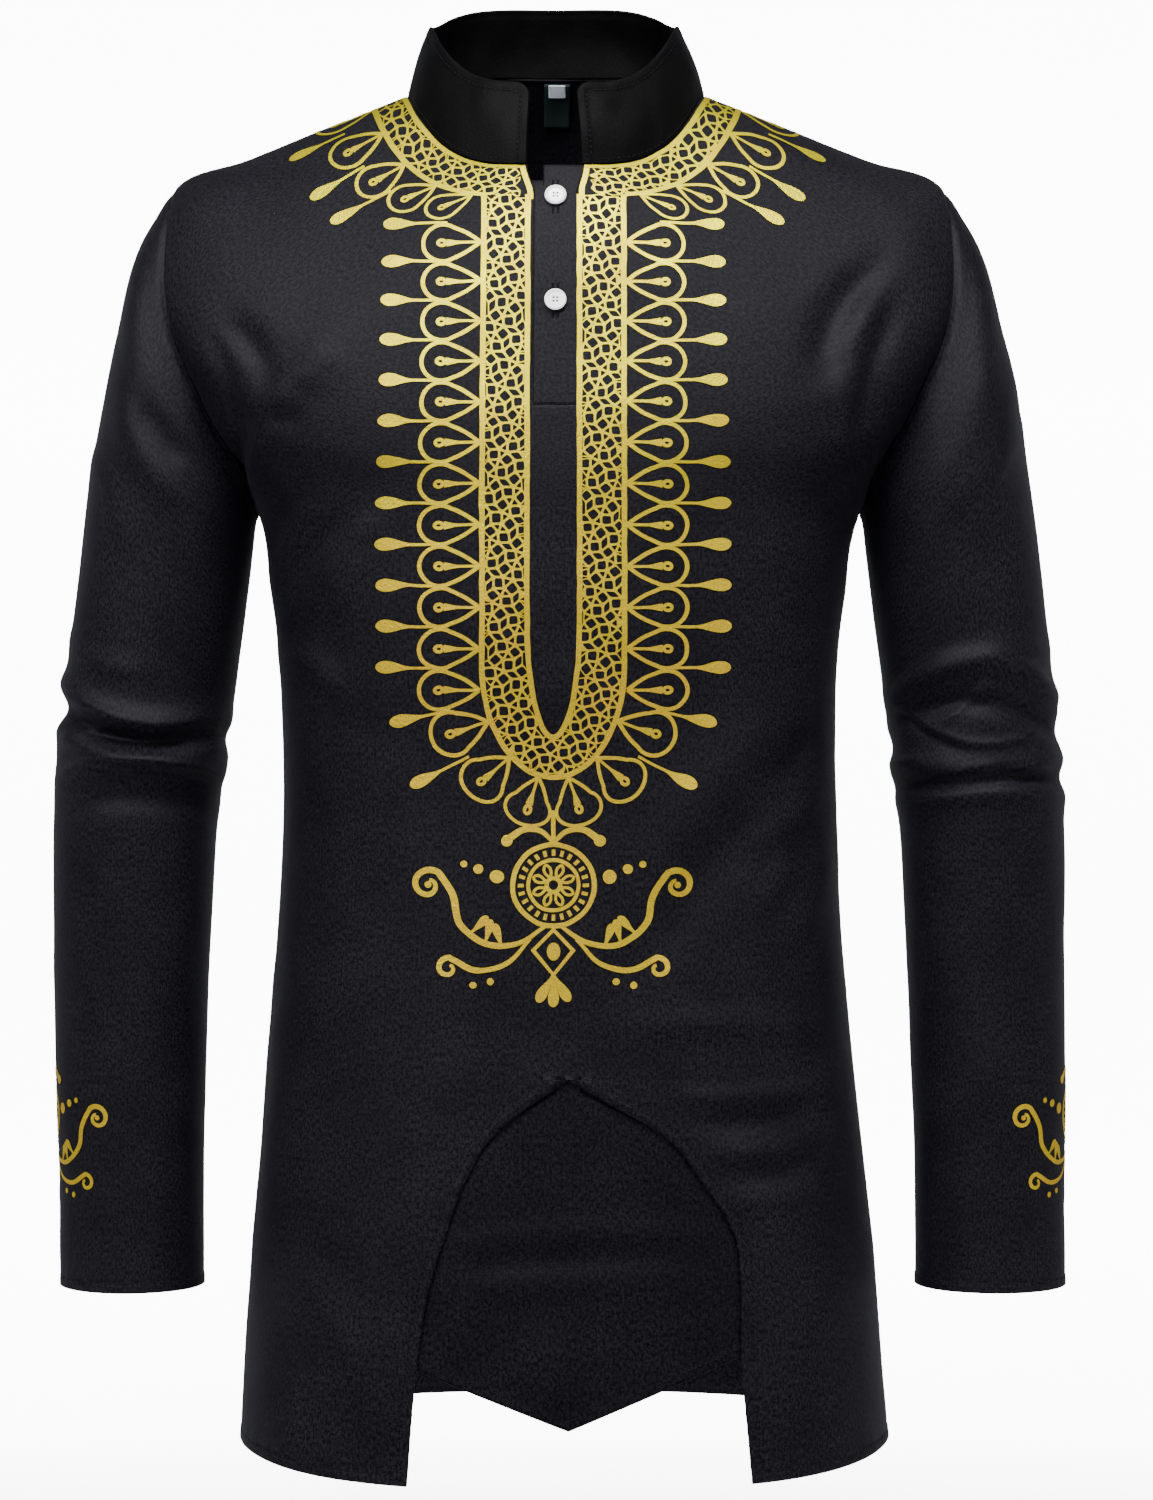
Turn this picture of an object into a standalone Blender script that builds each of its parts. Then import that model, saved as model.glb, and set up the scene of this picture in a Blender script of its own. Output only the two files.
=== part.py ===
"""A long-sleeved dashiki shirt with a stand collar, held open as if worn.

The origin is the middle of the neck opening at the foot of the collar's sides.
+X is to the viewer's right, -Y is the front and +Z is up. Tables are in millimetres.
"""

from math import pi

import bpy
import numpy as np
from mathutils import Matrix, Vector

MM = 0.001

# Cloth and seams
CLOTH = 1.4
COLLAR_CLOTH = 2.0
LABEL_CLOTH = 1.0
SEAM_GAP = 0.3
UNDER_LAYER = CLOTH + SEAM_GAP
INSERT_DEPTH = 2.3

# Neck slit and its strips
SLIT_HALF = 11.7
SLIT_TOP_HALF = 15.8
SLIT_FLARE_START = -50.0
SLIT_FLARE_END = -68.0
SLIT_BOTTOM = -184.0
STRIP_LEFT_TOP = -6.3
STRIP_NOTCH_END = -64.0
OVER_STRIP_DROP = 1.0
UNDER_STRIP_HALF = 15.2
UNDER_STRIP_DROP = 9.0
UNDER_STRIP_PAST = 4.0

# Stand collar; its top ring's sizes have the order of the body's columns
COLLAR_TOP = (71, 68, 69, 42, 38, -5, 56)
COLLAR_HEIGHT = 46.0
COLLAR_BOW = 1.6
COLLAR_LIFT = 0.45
COLLAR_OPENING_LEFT = 15.6
COLLAR_OPENING_RIGHT = 15.0
COLLAR_CORNER = 9.0
COLLAR_CORNER_CUT = 0.8
COLLAR_ROWS = (0, 0.3, 0.62, 0.85, 1.0)

# Arch let into the front hem
ARCH_CENTRE = 7.0
ARCH_TOP = -540.0
INSERT_UNDERLAP = 6.0
INSERT_APEX_RISE = 9.0
INSERT_APEX_FALL = 3.0
INSERT_BLEND = 60.0
INSERT_UNDERLAP_RAMP = (-6.0, 12.0)
INSERT_ROW_SPREAD = 1.15
INSERT_SIDE_LEFT = -692.0
INSERT_SIDE_RIGHT = -685.0
INSERT_POINT = -725.0

# Armhole: how far its seam comes in from the side, in degrees
ARMHOLE_DIP_FRONT = 25.0
ARMHOLE_DIP_BACK = 21.0
ARMHOLE_SHARE_START = 0.45

# How far a sleeve falls for each step out, over and under the arm
SLEEVE_FALL_OVER = 0.1
SLEEVE_FALL_UNDER = 1.2

# Buttons
BUTTON_RADIUS = 5.9
BUTTON_HEIGHT = 2.4
BUTTON_RIM = 1.2
BUTTON_HOLE = 0.65
BUTTON_HOLE_SPREAD = 1.35
BUTTON_SEGMENTS = 28
BUTTON_HOLE_SIDES = 10
BUTTONS = {"button_upper": -69.3, "button_lower": -127.3}

# Labels inside the back neck
LABEL_HALF = 7.2
LABEL_TOP = 2.5
LABEL_LENGTH = 27.0
TAB_HALF = 4.6
TAB_LENGTH = 7.5

# Level rings of the body, from the neck down: half-widths, depths and heights
TORSO_COLUMNS = ("left", "right", "front", "back", "side_z", "front_z", "back_z", "square", "rows")
TORSO = {
    "neck": (83, 82, 78, 50, 0, -50, 19, 0.00, 3),
    "yoke": (125, 126, 91, 73, -17, -79, -13, 0.01, 3),
    "shoulder": (172, 174, 102, 89, -36, -113, -52, 0.02, 2),
    "tip": (213, 216, 110, 100, -53, -150, -97, 0.03, 0),
    "upper_arm": (227, 230, 115, 105, -98, -178, -136, 0.04, 0),
    "lower_arm": (205, 208, 118, 108, -166, -206, -184, 0.05, 0),
    "armpit": (167, 170, 119, 109, -233, -233, -233, 0.05, 2),
    "ribs": (159, 161, 119, 106, -282, -282, -282, 0.05, 4),
    "waist": (152, 156, 112, 95, -378, -378, -378, 0.05, 4),
    "belly": (156, 160, 113, 100, -470, -470, -470, 0.05, 3),
    "arch_top": (162, 166, 115, 106, -540, -540, -540, 0.05, 4),
    "hip": (168, 174, 118, 112, -618, -618, -618, 0.05, 3),
    "thigh": (173, 181, 120, 115, -690, -691, -689, 0.05, 2),
    "hem": (176, 185, 120, 116, -747, -756, -745, 0.05, 0),
}

# Rings of a sleeve, from the armhole down: outer and inner points, and depths
SLEEVE_COLUMNS = (
    "outer_left", "outer_right", "outer_z", "inner_left", "inner_right", "inner_z", "front", "back", "rows"
)
SLEEVE = {
    "cap": (213, 216, -53, 167, 170, -233, 48, 46, 2),
    "high": (230, 233, -80, 168.4, 171.4, -241, 56, 54, 2),
    "upper": (245, 249, -133, 170.5, 173.5, -258, 60, 58, 2),
    "biceps": (256, 260, -190, 174, 177, -286, 60, 58, 3),
    "above": (266, 270, -258, 179, 182, -322, 57, 56, 6),
    "elbow": (275, 278, -335, 184.5, 187, -360, 53, 52, 7),
    "below": (281, 283, -402, 190, 192, -406, 50, 48, 3),
    "forearm": (281, 284, -480, 194, 196, -480, 46, 44, 3),
    "low": (279, 284.5, -570, 197, 200, -570, 43, 41, 3),
    "cuff": (277, 284, -664, 197, 201, -664, 41, 39, 0),
}
ARMHOLE_FADE = 120.0
SLEEVE_FOLDS_RAMP = (4.0, 40.0)

# Half-widths of the arch below its point
ARCH_COLUMNS = ("left", "right")
ARCH = {
    0.0: (0.0, 0.0),
    12.0: (18.0, 20.0),
    28.0: (38.0, 47.0),
    55.0: (54.5, 69.0),
    84.0: (64.5, 85.0),
    110.0: (72.0, 88.0),
    150.0: (78.0, 88.5),
    216.0: (83.5, 94.0),
}

# Main folds as the front view shows them; face is -1 in front, 1 behind and 0 all round
FOLD_COLUMNS = ("x0", "z0", "x1", "z1", "sag", "width", "height", "face")
FOLD_END_RAMP = (-0.15, 0.3)
FOLD_FACE_RAMP = (-0.45, 0.25)
TORSO_FOLDS = {
    "left armpit hollow": (-176, -132, -155, -184, 5, 9, -5.0, -1),
    "left chest ridge": (-118, -146, -154, -186, 3, 11, 4.0, -1),
    "left chest hollow": (-130, -168, -152, -194, 2, 8, -3.5, -1),
    "left drag upper": (-122, -230, -154, -268, -3, 8, 3.0, -1),
    "left drag lower": (-92, -240, -128, -284, -4, 9, 2.5, -1),
    "right armpit hollow": (177, -100, 142, -168, -8, 9, -5.0, -1),
    "right chest ridge": (173, -118, 156, -196, -5, 9, 4.0, -1),
    "right side hollow": (183, -124, 163, -206, -4, 7, -4.5, -1),
    "right waist ridge": (128, -342, 60, -424, -6, 15, 3.5, -1),
    "right waist hollow": (112, -402, 52, -478, -6, 14, -3.5, -1),
    "right side drag": (148, -418, 126, -470, 3, 9, 2.5, -1),
    "left waist hollow": (-150, -296, -112, -322, 4, 12, -3.0, -1),
    "back left shoulder": (-150, -118, -112, -196, 7, 13, -4.5, 1),
    "back right shoulder": (152, -112, 118, -204, -7, 12, -4.5, 1),
    "back left drag": (-148, -238, -88, -282, -5, 12, 3.5, 1),
    "back right drag": (150, -236, 96, -290, 5, 12, 3.5, 1),
    "back waist upper": (-104, -352, 88, -344, -12, 15, 4.0, 1),
    "back waist lower": (-78, -402, 116, -408, 10, 16, -4.0, 1),
}
LEFT_FOLDS = {
    "cap drag": (-236, -168, -196, -236, -8, 10, 3.5, -1),
    "cap hollow": (-226, -176, -198, -210, -4, 8, -3.5, -1),
    "elbow first": (-280, -322, -190, -346, -14, 7, 4.5, -1),
    "elbow deep": (-280, -338, -188, -359, -12, 6, -5.0, -1),
    "elbow second": (-282, -352, -184, -366, -9, 7, 4.5, -1),
    "elbow third": (-276, -381, -184, -382, 9, 7, 4.0, -1),
    "elbow lower": (-268, -396, -188, -398, 6, 8, -3.5, -1),
    "back elbow first": (-282, -326, -184, -350, -8, 8, 4.5, 1),
    "back elbow deep": (-284, -345, -184, -360, 5, 7, -4.5, 1),
    "back elbow second": (-284, -366, -184, -374, 7, 8, 4.5, 1),
    "back elbow third": (-278, -392, -186, -396, -5, 9, 3.0, 1),
}
RIGHT_FOLDS = {
    "cap drag": (238, -150, 196, -232, 8, 10, 3.5, -1),
    "cap outer drag": (252, -150, 204, -242, 12, 9, 3.0, -1),
    "elbow first": (282, -342, 186, -336, -22, 7, 5.0, -1),
    "elbow deep": (276, -358, 188, -350, -14, 6, -4.5, -1),
    "elbow second": (284, -370, 188, -374, 5, 7, 4.5, -1),
    "elbow crease": (282, -380, 190, -386, -3, 6, -5.0, -1),
    "elbow third": (286, -392, 192, -392, -4, 7, 3.5, -1),
    "back elbow first": (284, -336, 186, -352, -6, 8, 4.5, 1),
    "back elbow deep": (282, -354, 186, -364, 4, 7, -4.5, 1),
    "back elbow second": (284, -372, 186, -378, 6, 8, 4.5, 1),
    "back elbow third": (286, -396, 190, -394, -6, 9, 3.0, 1),
}

# Grid columns
FRONT_HALF_COLUMNS = 11
BACK_COLUMNS = 18
SLEEVE_COLUMNS_ROUND = 24
INSERT_GRID = (9, 10)
STRIP_GRID = (9, 2)
LABEL_GRID = (4, 2)
COLLAR_COLUMNS = 29
FINE_STATIONS = 1500


def table_column(table, columns, name):
    index = columns.index(name)
    return np.array([row[index] for row in table.values()], float)


def smooth(stations, values, at):
    """A curve through the values, cubic between stations, with the chord's slope at each."""
    at = np.asarray(at, float)
    slopes = np.gradient(values, stations)
    cell = np.clip(np.searchsorted(stations, at, side="right") - 1, 0, len(stations) - 2)
    width = stations[cell + 1] - stations[cell]
    t = (at - stations[cell]) / width
    start, end = values[cell], values[cell + 1]
    rise = t * t * (3 - 2 * t)
    lead = t * (1 - t) ** 2 * width * slopes[cell]
    tail = t * t * (1 - t) * width * slopes[cell + 1]
    return start + (end - start) * rise + lead - tail


def ramp(value, low, high):
    t = np.clip((value - low) / (high - low), 0, 1)
    return t * t * (3 - 2 * t)


def stations_of(*paths):
    """Distances down the rings, the mean of the paths' own lengths."""
    steps = [np.linalg.norm(np.diff(np.stack(path, axis=1), axis=0), axis=1) for path in paths]
    return np.concatenate([[0], np.cumsum(np.mean(steps, axis=0))])


TORSO_VALUES = {name: table_column(TORSO, TORSO_COLUMNS, name) for name in TORSO_COLUMNS}
TORSO_STATIONS = stations_of(
    (TORSO_VALUES["left"], TORSO_VALUES["side_z"]),
    (TORSO_VALUES["front"], TORSO_VALUES["front_z"]),
    (TORSO_VALUES["back"], TORSO_VALUES["back_z"]),
)
TORSO_AT = dict(zip(TORSO, TORSO_STATIONS))

SLEEVE_VALUES = {name: table_column(SLEEVE, SLEEVE_COLUMNS, name) for name in SLEEVE_COLUMNS}
SLEEVE_STATIONS = stations_of(
    (SLEEVE_VALUES["outer_left"], SLEEVE_VALUES["outer_z"]),
    (SLEEVE_VALUES["inner_left"], SLEEVE_VALUES["inner_z"]),
)


def fold_height(folds, points, facing):
    """How far the folds lift the cloth at each point; facing is the normal's Y."""
    x, z = points[..., 0], points[..., 2]
    total = np.zeros_like(x)
    for row in folds.values():
        fold = dict(zip(FOLD_COLUMNS, row))
        run = np.array([fold["x1"] - fold["x0"], fold["z1"] - fold["z0"]], float)
        length = np.hypot(*run)
        along = ((x - fold["x0"]) * run[0] + (z - fold["z0"]) * run[1]) / length
        across = ((z - fold["z0"]) * run[0] - (x - fold["x0"]) * run[1]) / length
        t = np.clip(along / length, 0, 1)
        off = across - fold["sag"] * 4 * t * (1 - t)
        past = along - t * length
        ends = ramp(t, *FOLD_END_RAMP) * ramp(1 - t, *FOLD_END_RAMP)
        share = ramp(fold["face"] * facing, *FOLD_FACE_RAMP) if fold["face"] else 1.0
        total += fold["height"] * np.exp(-(off**2 + past**2) / fold["width"] ** 2) * ends * share
    return total


def torso_form(station, phi):
    """A point of the body's smooth form; phi is 0 in front and a quarter turn at the right."""
    v = {name: smooth(TORSO_STATIONS, TORSO_VALUES[name], station) for name in TORSO_COLUMNS[:-1]}
    side, ahead = np.sin(phi), np.cos(phi)
    squared = 1 + v["square"] * np.sin(2 * phi) ** 2
    x = (v["right"] - v["left"]) / 2 + (v["right"] + v["left"]) / 2 * side * squared
    y = -np.where(ahead > 0, v["front"], v["back"]) * ahead * squared
    lowest = np.where(ahead > 0, v["front_z"], v["back_z"])
    z = v["side_z"] + (lowest - v["side_z"]) * (1 - side**4)
    return np.stack(np.broadcast_arrays(x, y, z), axis=-1)


def normals_of(surface, first, second, turn=1.0):
    step_1, step_2 = 0.2, 0.002
    along = surface(first + step_1, second) - surface(first - step_1, second)
    round_it = surface(first, second + step_2) - surface(first, second - step_2)
    normal = np.cross(along, round_it) * turn
    return normal / np.linalg.norm(normal, axis=-1, keepdims=True)


def torso(station, phi):
    """The body's cloth: its form with the folds on it."""
    points = torso_form(station, phi)
    normal = normals_of(torso_form, station, phi)
    lift = fold_height(TORSO_FOLDS, points, normal[..., 1])
    return points + normal * lift[..., None]


def armhole_phi(station, dip):
    """The angle of the panels' side edge: the side itself, but for the round armhole."""
    top, bottom = TORSO_AT["tip"], TORSO_AT["armpit"]
    t = np.clip((station - top) / (bottom - top), 0, 1)
    return pi / 2 - np.radians(dip) * 2 * np.sqrt(t * (1 - t))


def sleeve_ring(side, sizes, psi):
    """A point of a sleeve's ring of these sizes; psi is 0 at the outer side and grows to the front."""
    name = "left" if side < 0 else "right"
    out, ahead = np.cos(psi), np.sin(psi)
    outer, inner = side * sizes["outer_" + name], side * sizes["inner_" + name]
    x = (outer + inner) / 2 + (outer - inner) / 2 * out
    z = (sizes["outer_z"] + sizes["inner_z"]) / 2 + (sizes["outer_z"] - sizes["inner_z"]) / 2 * out
    y = -np.where(ahead > 0, sizes["front"], sizes["back"]) * ahead
    return np.stack(np.broadcast_arrays(x, y, z), axis=-1)


def sleeve_form(side, station, psi):
    """A point of a sleeve's smooth form, led from the armhole into the table's rings."""
    names = SLEEVE_COLUMNS[:-1]
    sizes = {name: smooth(SLEEVE_STATIONS, SLEEVE_VALUES[name], station) for name in names}
    first = {name: SLEEVE_VALUES[name][0] for name in names}
    keep = (1 - ramp(station, 0, ARMHOLE_FADE))[..., None]
    return sleeve_ring(side, sizes, psi) + keep * (armhole(side, psi) - sleeve_ring(side, first, psi))


def armhole_station(psi):
    """How far down the body the armhole seam is at this angle round the sleeve."""
    share = (1 - np.cos(psi)) / 2
    return TORSO_AT["tip"] + share * (TORSO_AT["armpit"] - TORSO_AT["tip"])


def armhole_place(side, psi):
    """Station and phi of the armhole seam at this angle round the sleeve."""
    dip = np.where(np.sin(psi) >= 0, ARMHOLE_DIP_FRONT, ARMHOLE_DIP_BACK)
    return armhole_station(psi), side * (pi / 2 - np.radians(dip) * np.sin(psi))


def armhole(side, psi):
    """The sleeve's first ring: the armhole curve, set out by the seam's gap."""
    station, phi = armhole_place(side, psi)
    return torso(station, phi) + armhole_outward(side, psi) * SEAM_GAP


def armhole_outward(side, psi):
    """The direction in which the sleeve leaves the armhole."""
    t = np.abs(np.mod(psi, 2 * pi) - pi) / pi
    x = np.full_like(t, 1.0) * side
    z = -SLEEVE_FALL_UNDER + (SLEEVE_FALL_UNDER - SLEEVE_FALL_OVER) * t
    outward = np.stack(np.broadcast_arrays(x, np.zeros_like(t), z), axis=-1)
    return outward / np.linalg.norm(outward, axis=-1, keepdims=True)


def sleeve(side, station, psi):
    """A sleeve's cloth: its form with the folds on it."""
    folds = LEFT_FOLDS if side < 0 else RIGHT_FOLDS
    points = sleeve_form(side, station, psi)
    normal = normals_of(lambda a, b: sleeve_form(side, a, b), station, psi, -side)
    lift = fold_height(folds, points, normal[..., 1]) * ramp(station, *SLEEVE_FOLDS_RAMP)
    return points + normal * lift[..., None]


def rows_between(stations, counts, first=0, last=None):
    """Stations for the grid's rows, with the table's count of rows after each ring."""
    last = len(stations) - 1 if last is None else last
    runs = [
        np.linspace(stations[i], stations[i + 1], int(counts[i]), endpoint=False)
        for i in range(first, last)
    ]
    return np.concatenate(runs + [stations[last : last + 1]])


def torso_rows(first="neck", last="hem"):
    """The panels' rows; along the armhole each meets a column of the sleeve."""
    names = list(TORSO)
    rows = rows_between(TORSO_STATIONS, TORSO_VALUES["rows"], names.index(first), names.index(last))
    psi = np.linspace(0, pi, SLEEVE_COLUMNS_ROUND // 2 + 1)
    seam = armhole_station(psi[:-1]) if first == "neck" else []
    return np.sort(np.append(rows, seam))


def make_shell(name, grids, material, thickness=CLOTH, flat_walls=False):
    """A closed wall from grids of (outer points, outward normals, cells kept)."""
    index, outer, inner, faces = {}, [], [], []
    for points, normals, kept in grids:
        if flat_walls:
            normals = normals * np.array([1.0, 1.0, 0.0])
            normals = normals / np.linalg.norm(normals, axis=-1, keepdims=True)
        rows, columns = points.shape[:2]
        number = np.empty((rows, columns), int)
        for i in range(rows):
            for j in range(columns):
                key = tuple(np.round(points[i, j], 4))
                if key not in index:
                    index[key] = len(outer)
                    outer.append(points[i, j])
                    inner.append(points[i, j] - thickness * normals[i, j])
                number[i, j] = index[key]
        middle = (rows // 2, columns // 2)
        down = points[middle] - points[middle[0] - 1, middle[1]]
        across = points[middle] - points[middle[0], middle[1] - 1]
        outward = np.dot(np.cross(down, across), normals[middle]) > 0
        for i in range(rows - 1):
            for j in range(columns - 1):
                if kept is not None and not kept[i, j]:
                    continue
                corners = [number[i, j], number[i + 1, j], number[i + 1, j + 1], number[i, j + 1]]
                corners = corners if outward else corners[::-1]
                if len(set(corners)) > 2:
                    faces.append([c for k, c in enumerate(corners) if c != corners[k - 1]])
    count = len(outer)
    edges = {(face[k - 1], face[k]) for face in faces for k in range(len(face))}
    rim = [[b, a, a + count, b + count] for a, b in edges if (b, a) not in edges]
    shell = faces + [[c + count for c in face[::-1]] for face in faces] + sorted(rim)
    used = sorted({c for face in shell for c in face})
    place = {old: new for new, old in enumerate(used)}
    vertices = np.array(outer + inner)[used] * MM
    mesh = bpy.data.meshes.new(name)
    mesh.from_pydata(vertices.tolist(), [], [[place[c] for c in face] for face in shell])
    mesh.validate()
    mesh.shade_smooth()
    mesh.set_sharp_from_angle(angle=np.radians(50))
    mesh.materials.append(material)
    return add_object(name, mesh)


def add_object(name, mesh):
    obj = bpy.data.objects.new(name, mesh)
    bpy.context.scene.collection.objects.link(obj)
    return obj


def make_material(name, colour, roughness, metallic=0.0):
    material = bpy.data.materials.new(name)
    material.use_nodes = True
    shader = material.node_tree.nodes["Principled BSDF"]
    shader.inputs["Base Color"].default_value = (*colour, 1.0)
    shader.inputs["Roughness"].default_value = roughness
    shader.inputs["Metallic"].default_value = metallic
    return material


def phi_at(station, x):
    """The front angle at which the body's form has this X."""
    left = smooth(TORSO_STATIONS, TORSO_VALUES["left"], station)
    right = smooth(TORSO_STATIONS, TORSO_VALUES["right"], station)
    return np.arcsin(np.clip((x - (right - left) / 2) / ((right + left) / 2), -1, 1))


def arch_edge(z, side):
    """X of the arch's edge at this height."""
    drops = np.array(list(ARCH))
    halves = table_column(ARCH, ARCH_COLUMNS, "left" if side < 0 else "right")
    return ARCH_CENTRE + side * smooth(drops, halves, np.clip(ARCH_TOP - z, 0, drops[-1]))


def slit_half(z):
    return SLIT_HALF + (SLIT_TOP_HALF - SLIT_HALF) * (1 - ramp(-z, -SLIT_FLARE_START, -SLIT_FLARE_END))


def front_z_at(station):
    return smooth(TORSO_STATIONS, TORSO_VALUES["front_z"], station)


def station_of_front(z):
    """The station at which the front's middle has this height."""
    stations = np.linspace(0, TORSO_STATIONS[-1], FINE_STATIONS)
    return np.interp(-np.asarray(z, float), -front_z_at(stations), stations)


def armhole_share(share):
    """How far a column follows the armhole's dip; the columns near the middle stay upright."""
    past = (np.abs(share) - ARMHOLE_SHARE_START) / (1 - ARMHOLE_SHARE_START)
    return np.clip(past, 0, 1) ** 1.5


def torso_grid(station, phi):
    return torso(station, phi), normals_of(torso, station, phi)


def make_front(material):
    upper = torso_rows(last="arch_top")
    slit_end = station_of_front(SLIT_BOTTOM)
    upper[np.argmin(np.abs(upper - slit_end))] = slit_end
    lower = torso_rows(first="arch_top")
    share = np.linspace(0, 1, FRONT_HALF_COLUMNS)
    gap = SEAM_GAP / 2
    grids = []

    edge = armhole_phi(upper, ARMHOLE_DIP_FRONT) - gap / TORSO_VALUES["left"][0]
    half = slit_half(front_z_at(upper))
    halves = {}
    for side in (-1, 1):
        inner = phi_at(upper, side * half)
        phi = inner[:, None] + share[None, :] * (side * pi / 2 - inner)[:, None]
        phi = phi - side * (pi / 2 - edge)[:, None] * armhole_share(share)[None, :]
        middle = phi_at(upper, np.zeros_like(half))[:, None]
        phi = np.concatenate([middle, phi], axis=1)
        halves[side] = phi
    phi = np.concatenate([halves[-1][:, :0:-1], halves[1]], axis=1)
    station = np.broadcast_to(upper[:, None], phi.shape)
    points, normals = torso_grid(station, phi)
    kept = np.ones((len(upper) - 1, phi.shape[1] - 1), bool)
    middle = phi.shape[1] // 2
    open_rows = upper[:-1] < slit_end - 1e-6
    kept[np.ix_(open_rows, [middle - 1, middle])] = False
    grids.append((points, normals, kept))

    top_row = phi[-1]
    for side in (-1, 1):
        columns = top_row[middle::-1] if side < 0 else top_row[middle:]
        shares = (columns - columns[0]) / (columns[-1] - columns[0])
        seam = side * (pi / 2 - gap / TORSO_VALUES["left"][-1])
        inner = phi_at(lower, arch_edge(front_z_at(lower), side))
        inner[0] = columns[0]
        leg = inner[:, None] + shares[None, :] * (seam - inner)[:, None]
        leg[0] = columns
        station = np.broadcast_to(lower[:, None], leg.shape)
        points, normals = torso_grid(station, leg)
        grids.append((points, normals, None))
    return make_shell("front", grids, material)


def make_insert(material):
    """The arch-shaped panel behind the front's cut edge, down to its V hem."""
    rows, columns = INSERT_GRID
    across = np.linspace(-1, 1, 2 * columns + 1)
    sides = np.where(across < 0, INSERT_SIDE_LEFT, INSERT_SIDE_RIGHT)
    bottom = INSERT_POINT + (sides - INSERT_POINT) * np.abs(across)
    down = np.linspace(0, 1, rows + 1) ** INSERT_ROW_SPREAD
    apex = ARCH_TOP + INSERT_APEX_RISE
    z = apex + (bottom[None, :] - apex) * down[:, None]
    z[0] = apex - INSERT_APEX_FALL * np.abs(across)
    x = np.empty_like(z)
    for side in (-1, 1):
        part = across * side >= 0
        below = apex - z[:, part]
        level = z[:, part] + INSERT_APEX_RISE * (1 - ramp(below, 0, INSERT_BLEND))
        edge = arch_edge(np.minimum(level, ARCH_TOP), side) - ARCH_CENTRE
        reach = edge + side * INSERT_UNDERLAP * ramp(below, *INSERT_UNDERLAP_RAMP)
        x[:, part] = ARCH_CENTRE + reach * np.abs(across[part])
    station = station_of_front(z)
    phi = phi_at(station, x)
    points, normals = torso_grid(station, phi)
    return make_shell("front_insert", [(points - INSERT_DEPTH * normals, normals, None)], material)


def make_back(material):
    station = torso_rows()[:, None]
    edge = pi - armhole_phi(station, ARMHOLE_DIP_BACK) + SEAM_GAP / 2 / TORSO_VALUES["left"][0]
    share = np.linspace(-1, 1, BACK_COLUMNS + 1)[None, :]
    phi = pi + share * pi / 2 - np.sign(share) * (edge - pi / 2) * armhole_share(share)
    points, normals = torso_grid(np.broadcast_to(station, phi.shape), phi)
    return make_shell("back", [(points, normals, None)], material)


def make_sleeve(name, side, material):
    station = rows_between(SLEEVE_STATIONS, SLEEVE_VALUES["rows"])[:, None]
    psi = np.linspace(0, 2 * pi, SLEEVE_COLUMNS_ROUND + 1)[None, :]
    psi, station = np.broadcast_arrays(psi, station)
    points = sleeve(side, station, psi)
    points[:, -1] = points[:, 0]
    normals = normals_of(lambda a, b: sleeve(side, a, b), station, psi, -side)
    seam_station, seam_phi = armhole_place(side, psi[0])
    normals[0] = normals_of(torso, seam_station, seam_phi)
    return make_shell(name, [(points, normals, None)], material)


def collar_ring(left, right, front, back, side_z, front_z, back_z, phi):
    side, ahead = np.sin(phi), np.cos(phi)
    x = (right - left) / 2 + (right + left) / 2 * side
    y = -np.where(ahead > 0, front, back) * ahead
    z = side_z + (np.where(ahead > 0, front_z, back_z) - side_z) * (1 - side**4)
    return np.stack([x, y, z], axis=-1)


def collar(height, phi):
    """The collar's outer side; height runs from 0 at the seam to 1 at the top edge."""
    foot = collar_ring(*TORSO["neck"][:7], phi)
    foot = foot + np.array([0.0, 0.0, COLLAR_LIFT])
    top = collar_ring(*COLLAR_TOP, phi)
    height = np.asarray(height)[..., None]
    bow = COLLAR_BOW * np.sin(pi * height)
    outward = np.stack([np.sin(phi), -np.cos(phi), 0 * phi], axis=-1)
    return foot + (top - foot) * height + outward * bow


def collar_columns():
    """Angles from the opening's right edge round the back to its left edge."""
    start = np.arcsin(COLLAR_OPENING_RIGHT / TORSO_VALUES["right"][0])
    end = 2 * pi - np.arcsin(COLLAR_OPENING_LEFT / TORSO_VALUES["left"][0])
    corner = COLLAR_CORNER / TORSO_VALUES["front"][0] * np.array([0, 0.08, 0.3, 0.62, 1.0])
    between = np.linspace(start + corner[-1], end - corner[-1], COLLAR_COLUMNS)
    return np.concatenate([start + corner[:-1], between, (end - corner[:-1])[::-1]])


def make_collar(material):
    phi = collar_columns()
    from_edge = np.minimum(phi - phi[0], phi[-1] - phi) * TORSO_VALUES["front"][0]
    inside = np.clip(1 - from_edge / COLLAR_CORNER, 0, 1)
    cut = COLLAR_CORNER / COLLAR_HEIGHT * (1 - np.sqrt(np.maximum(1 - inside**2, 0)))
    height = np.array(COLLAR_ROWS)[:, None] * (1 - COLLAR_CORNER_CUT * cut[None, :])
    phi = np.broadcast_to(phi[None, :], height.shape)
    points = collar(height, phi)
    rise = height * COLLAR_HEIGHT
    normals = normals_of(lambda a, b: collar(a / COLLAR_HEIGHT, b), rise, phi, -1.0)
    return make_shell("collar", [(points, normals, None)], material, COLLAR_CLOTH, True)


def make_strip(name, z, left, right, outset, material):
    """A strip laid along the slit, from the front's own points, with rows at these heights."""
    share = np.linspace(0, 1, STRIP_GRID[1] + 1)[None, :]
    x = left[:, None] + (right - left)[:, None] * share
    station = np.broadcast_to(station_of_front(z)[:, None], x.shape)
    points, normals = torso_grid(station, phi_at(station, x))
    return make_shell(name, [(points + outset * normals, normals, None)], material)


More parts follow.
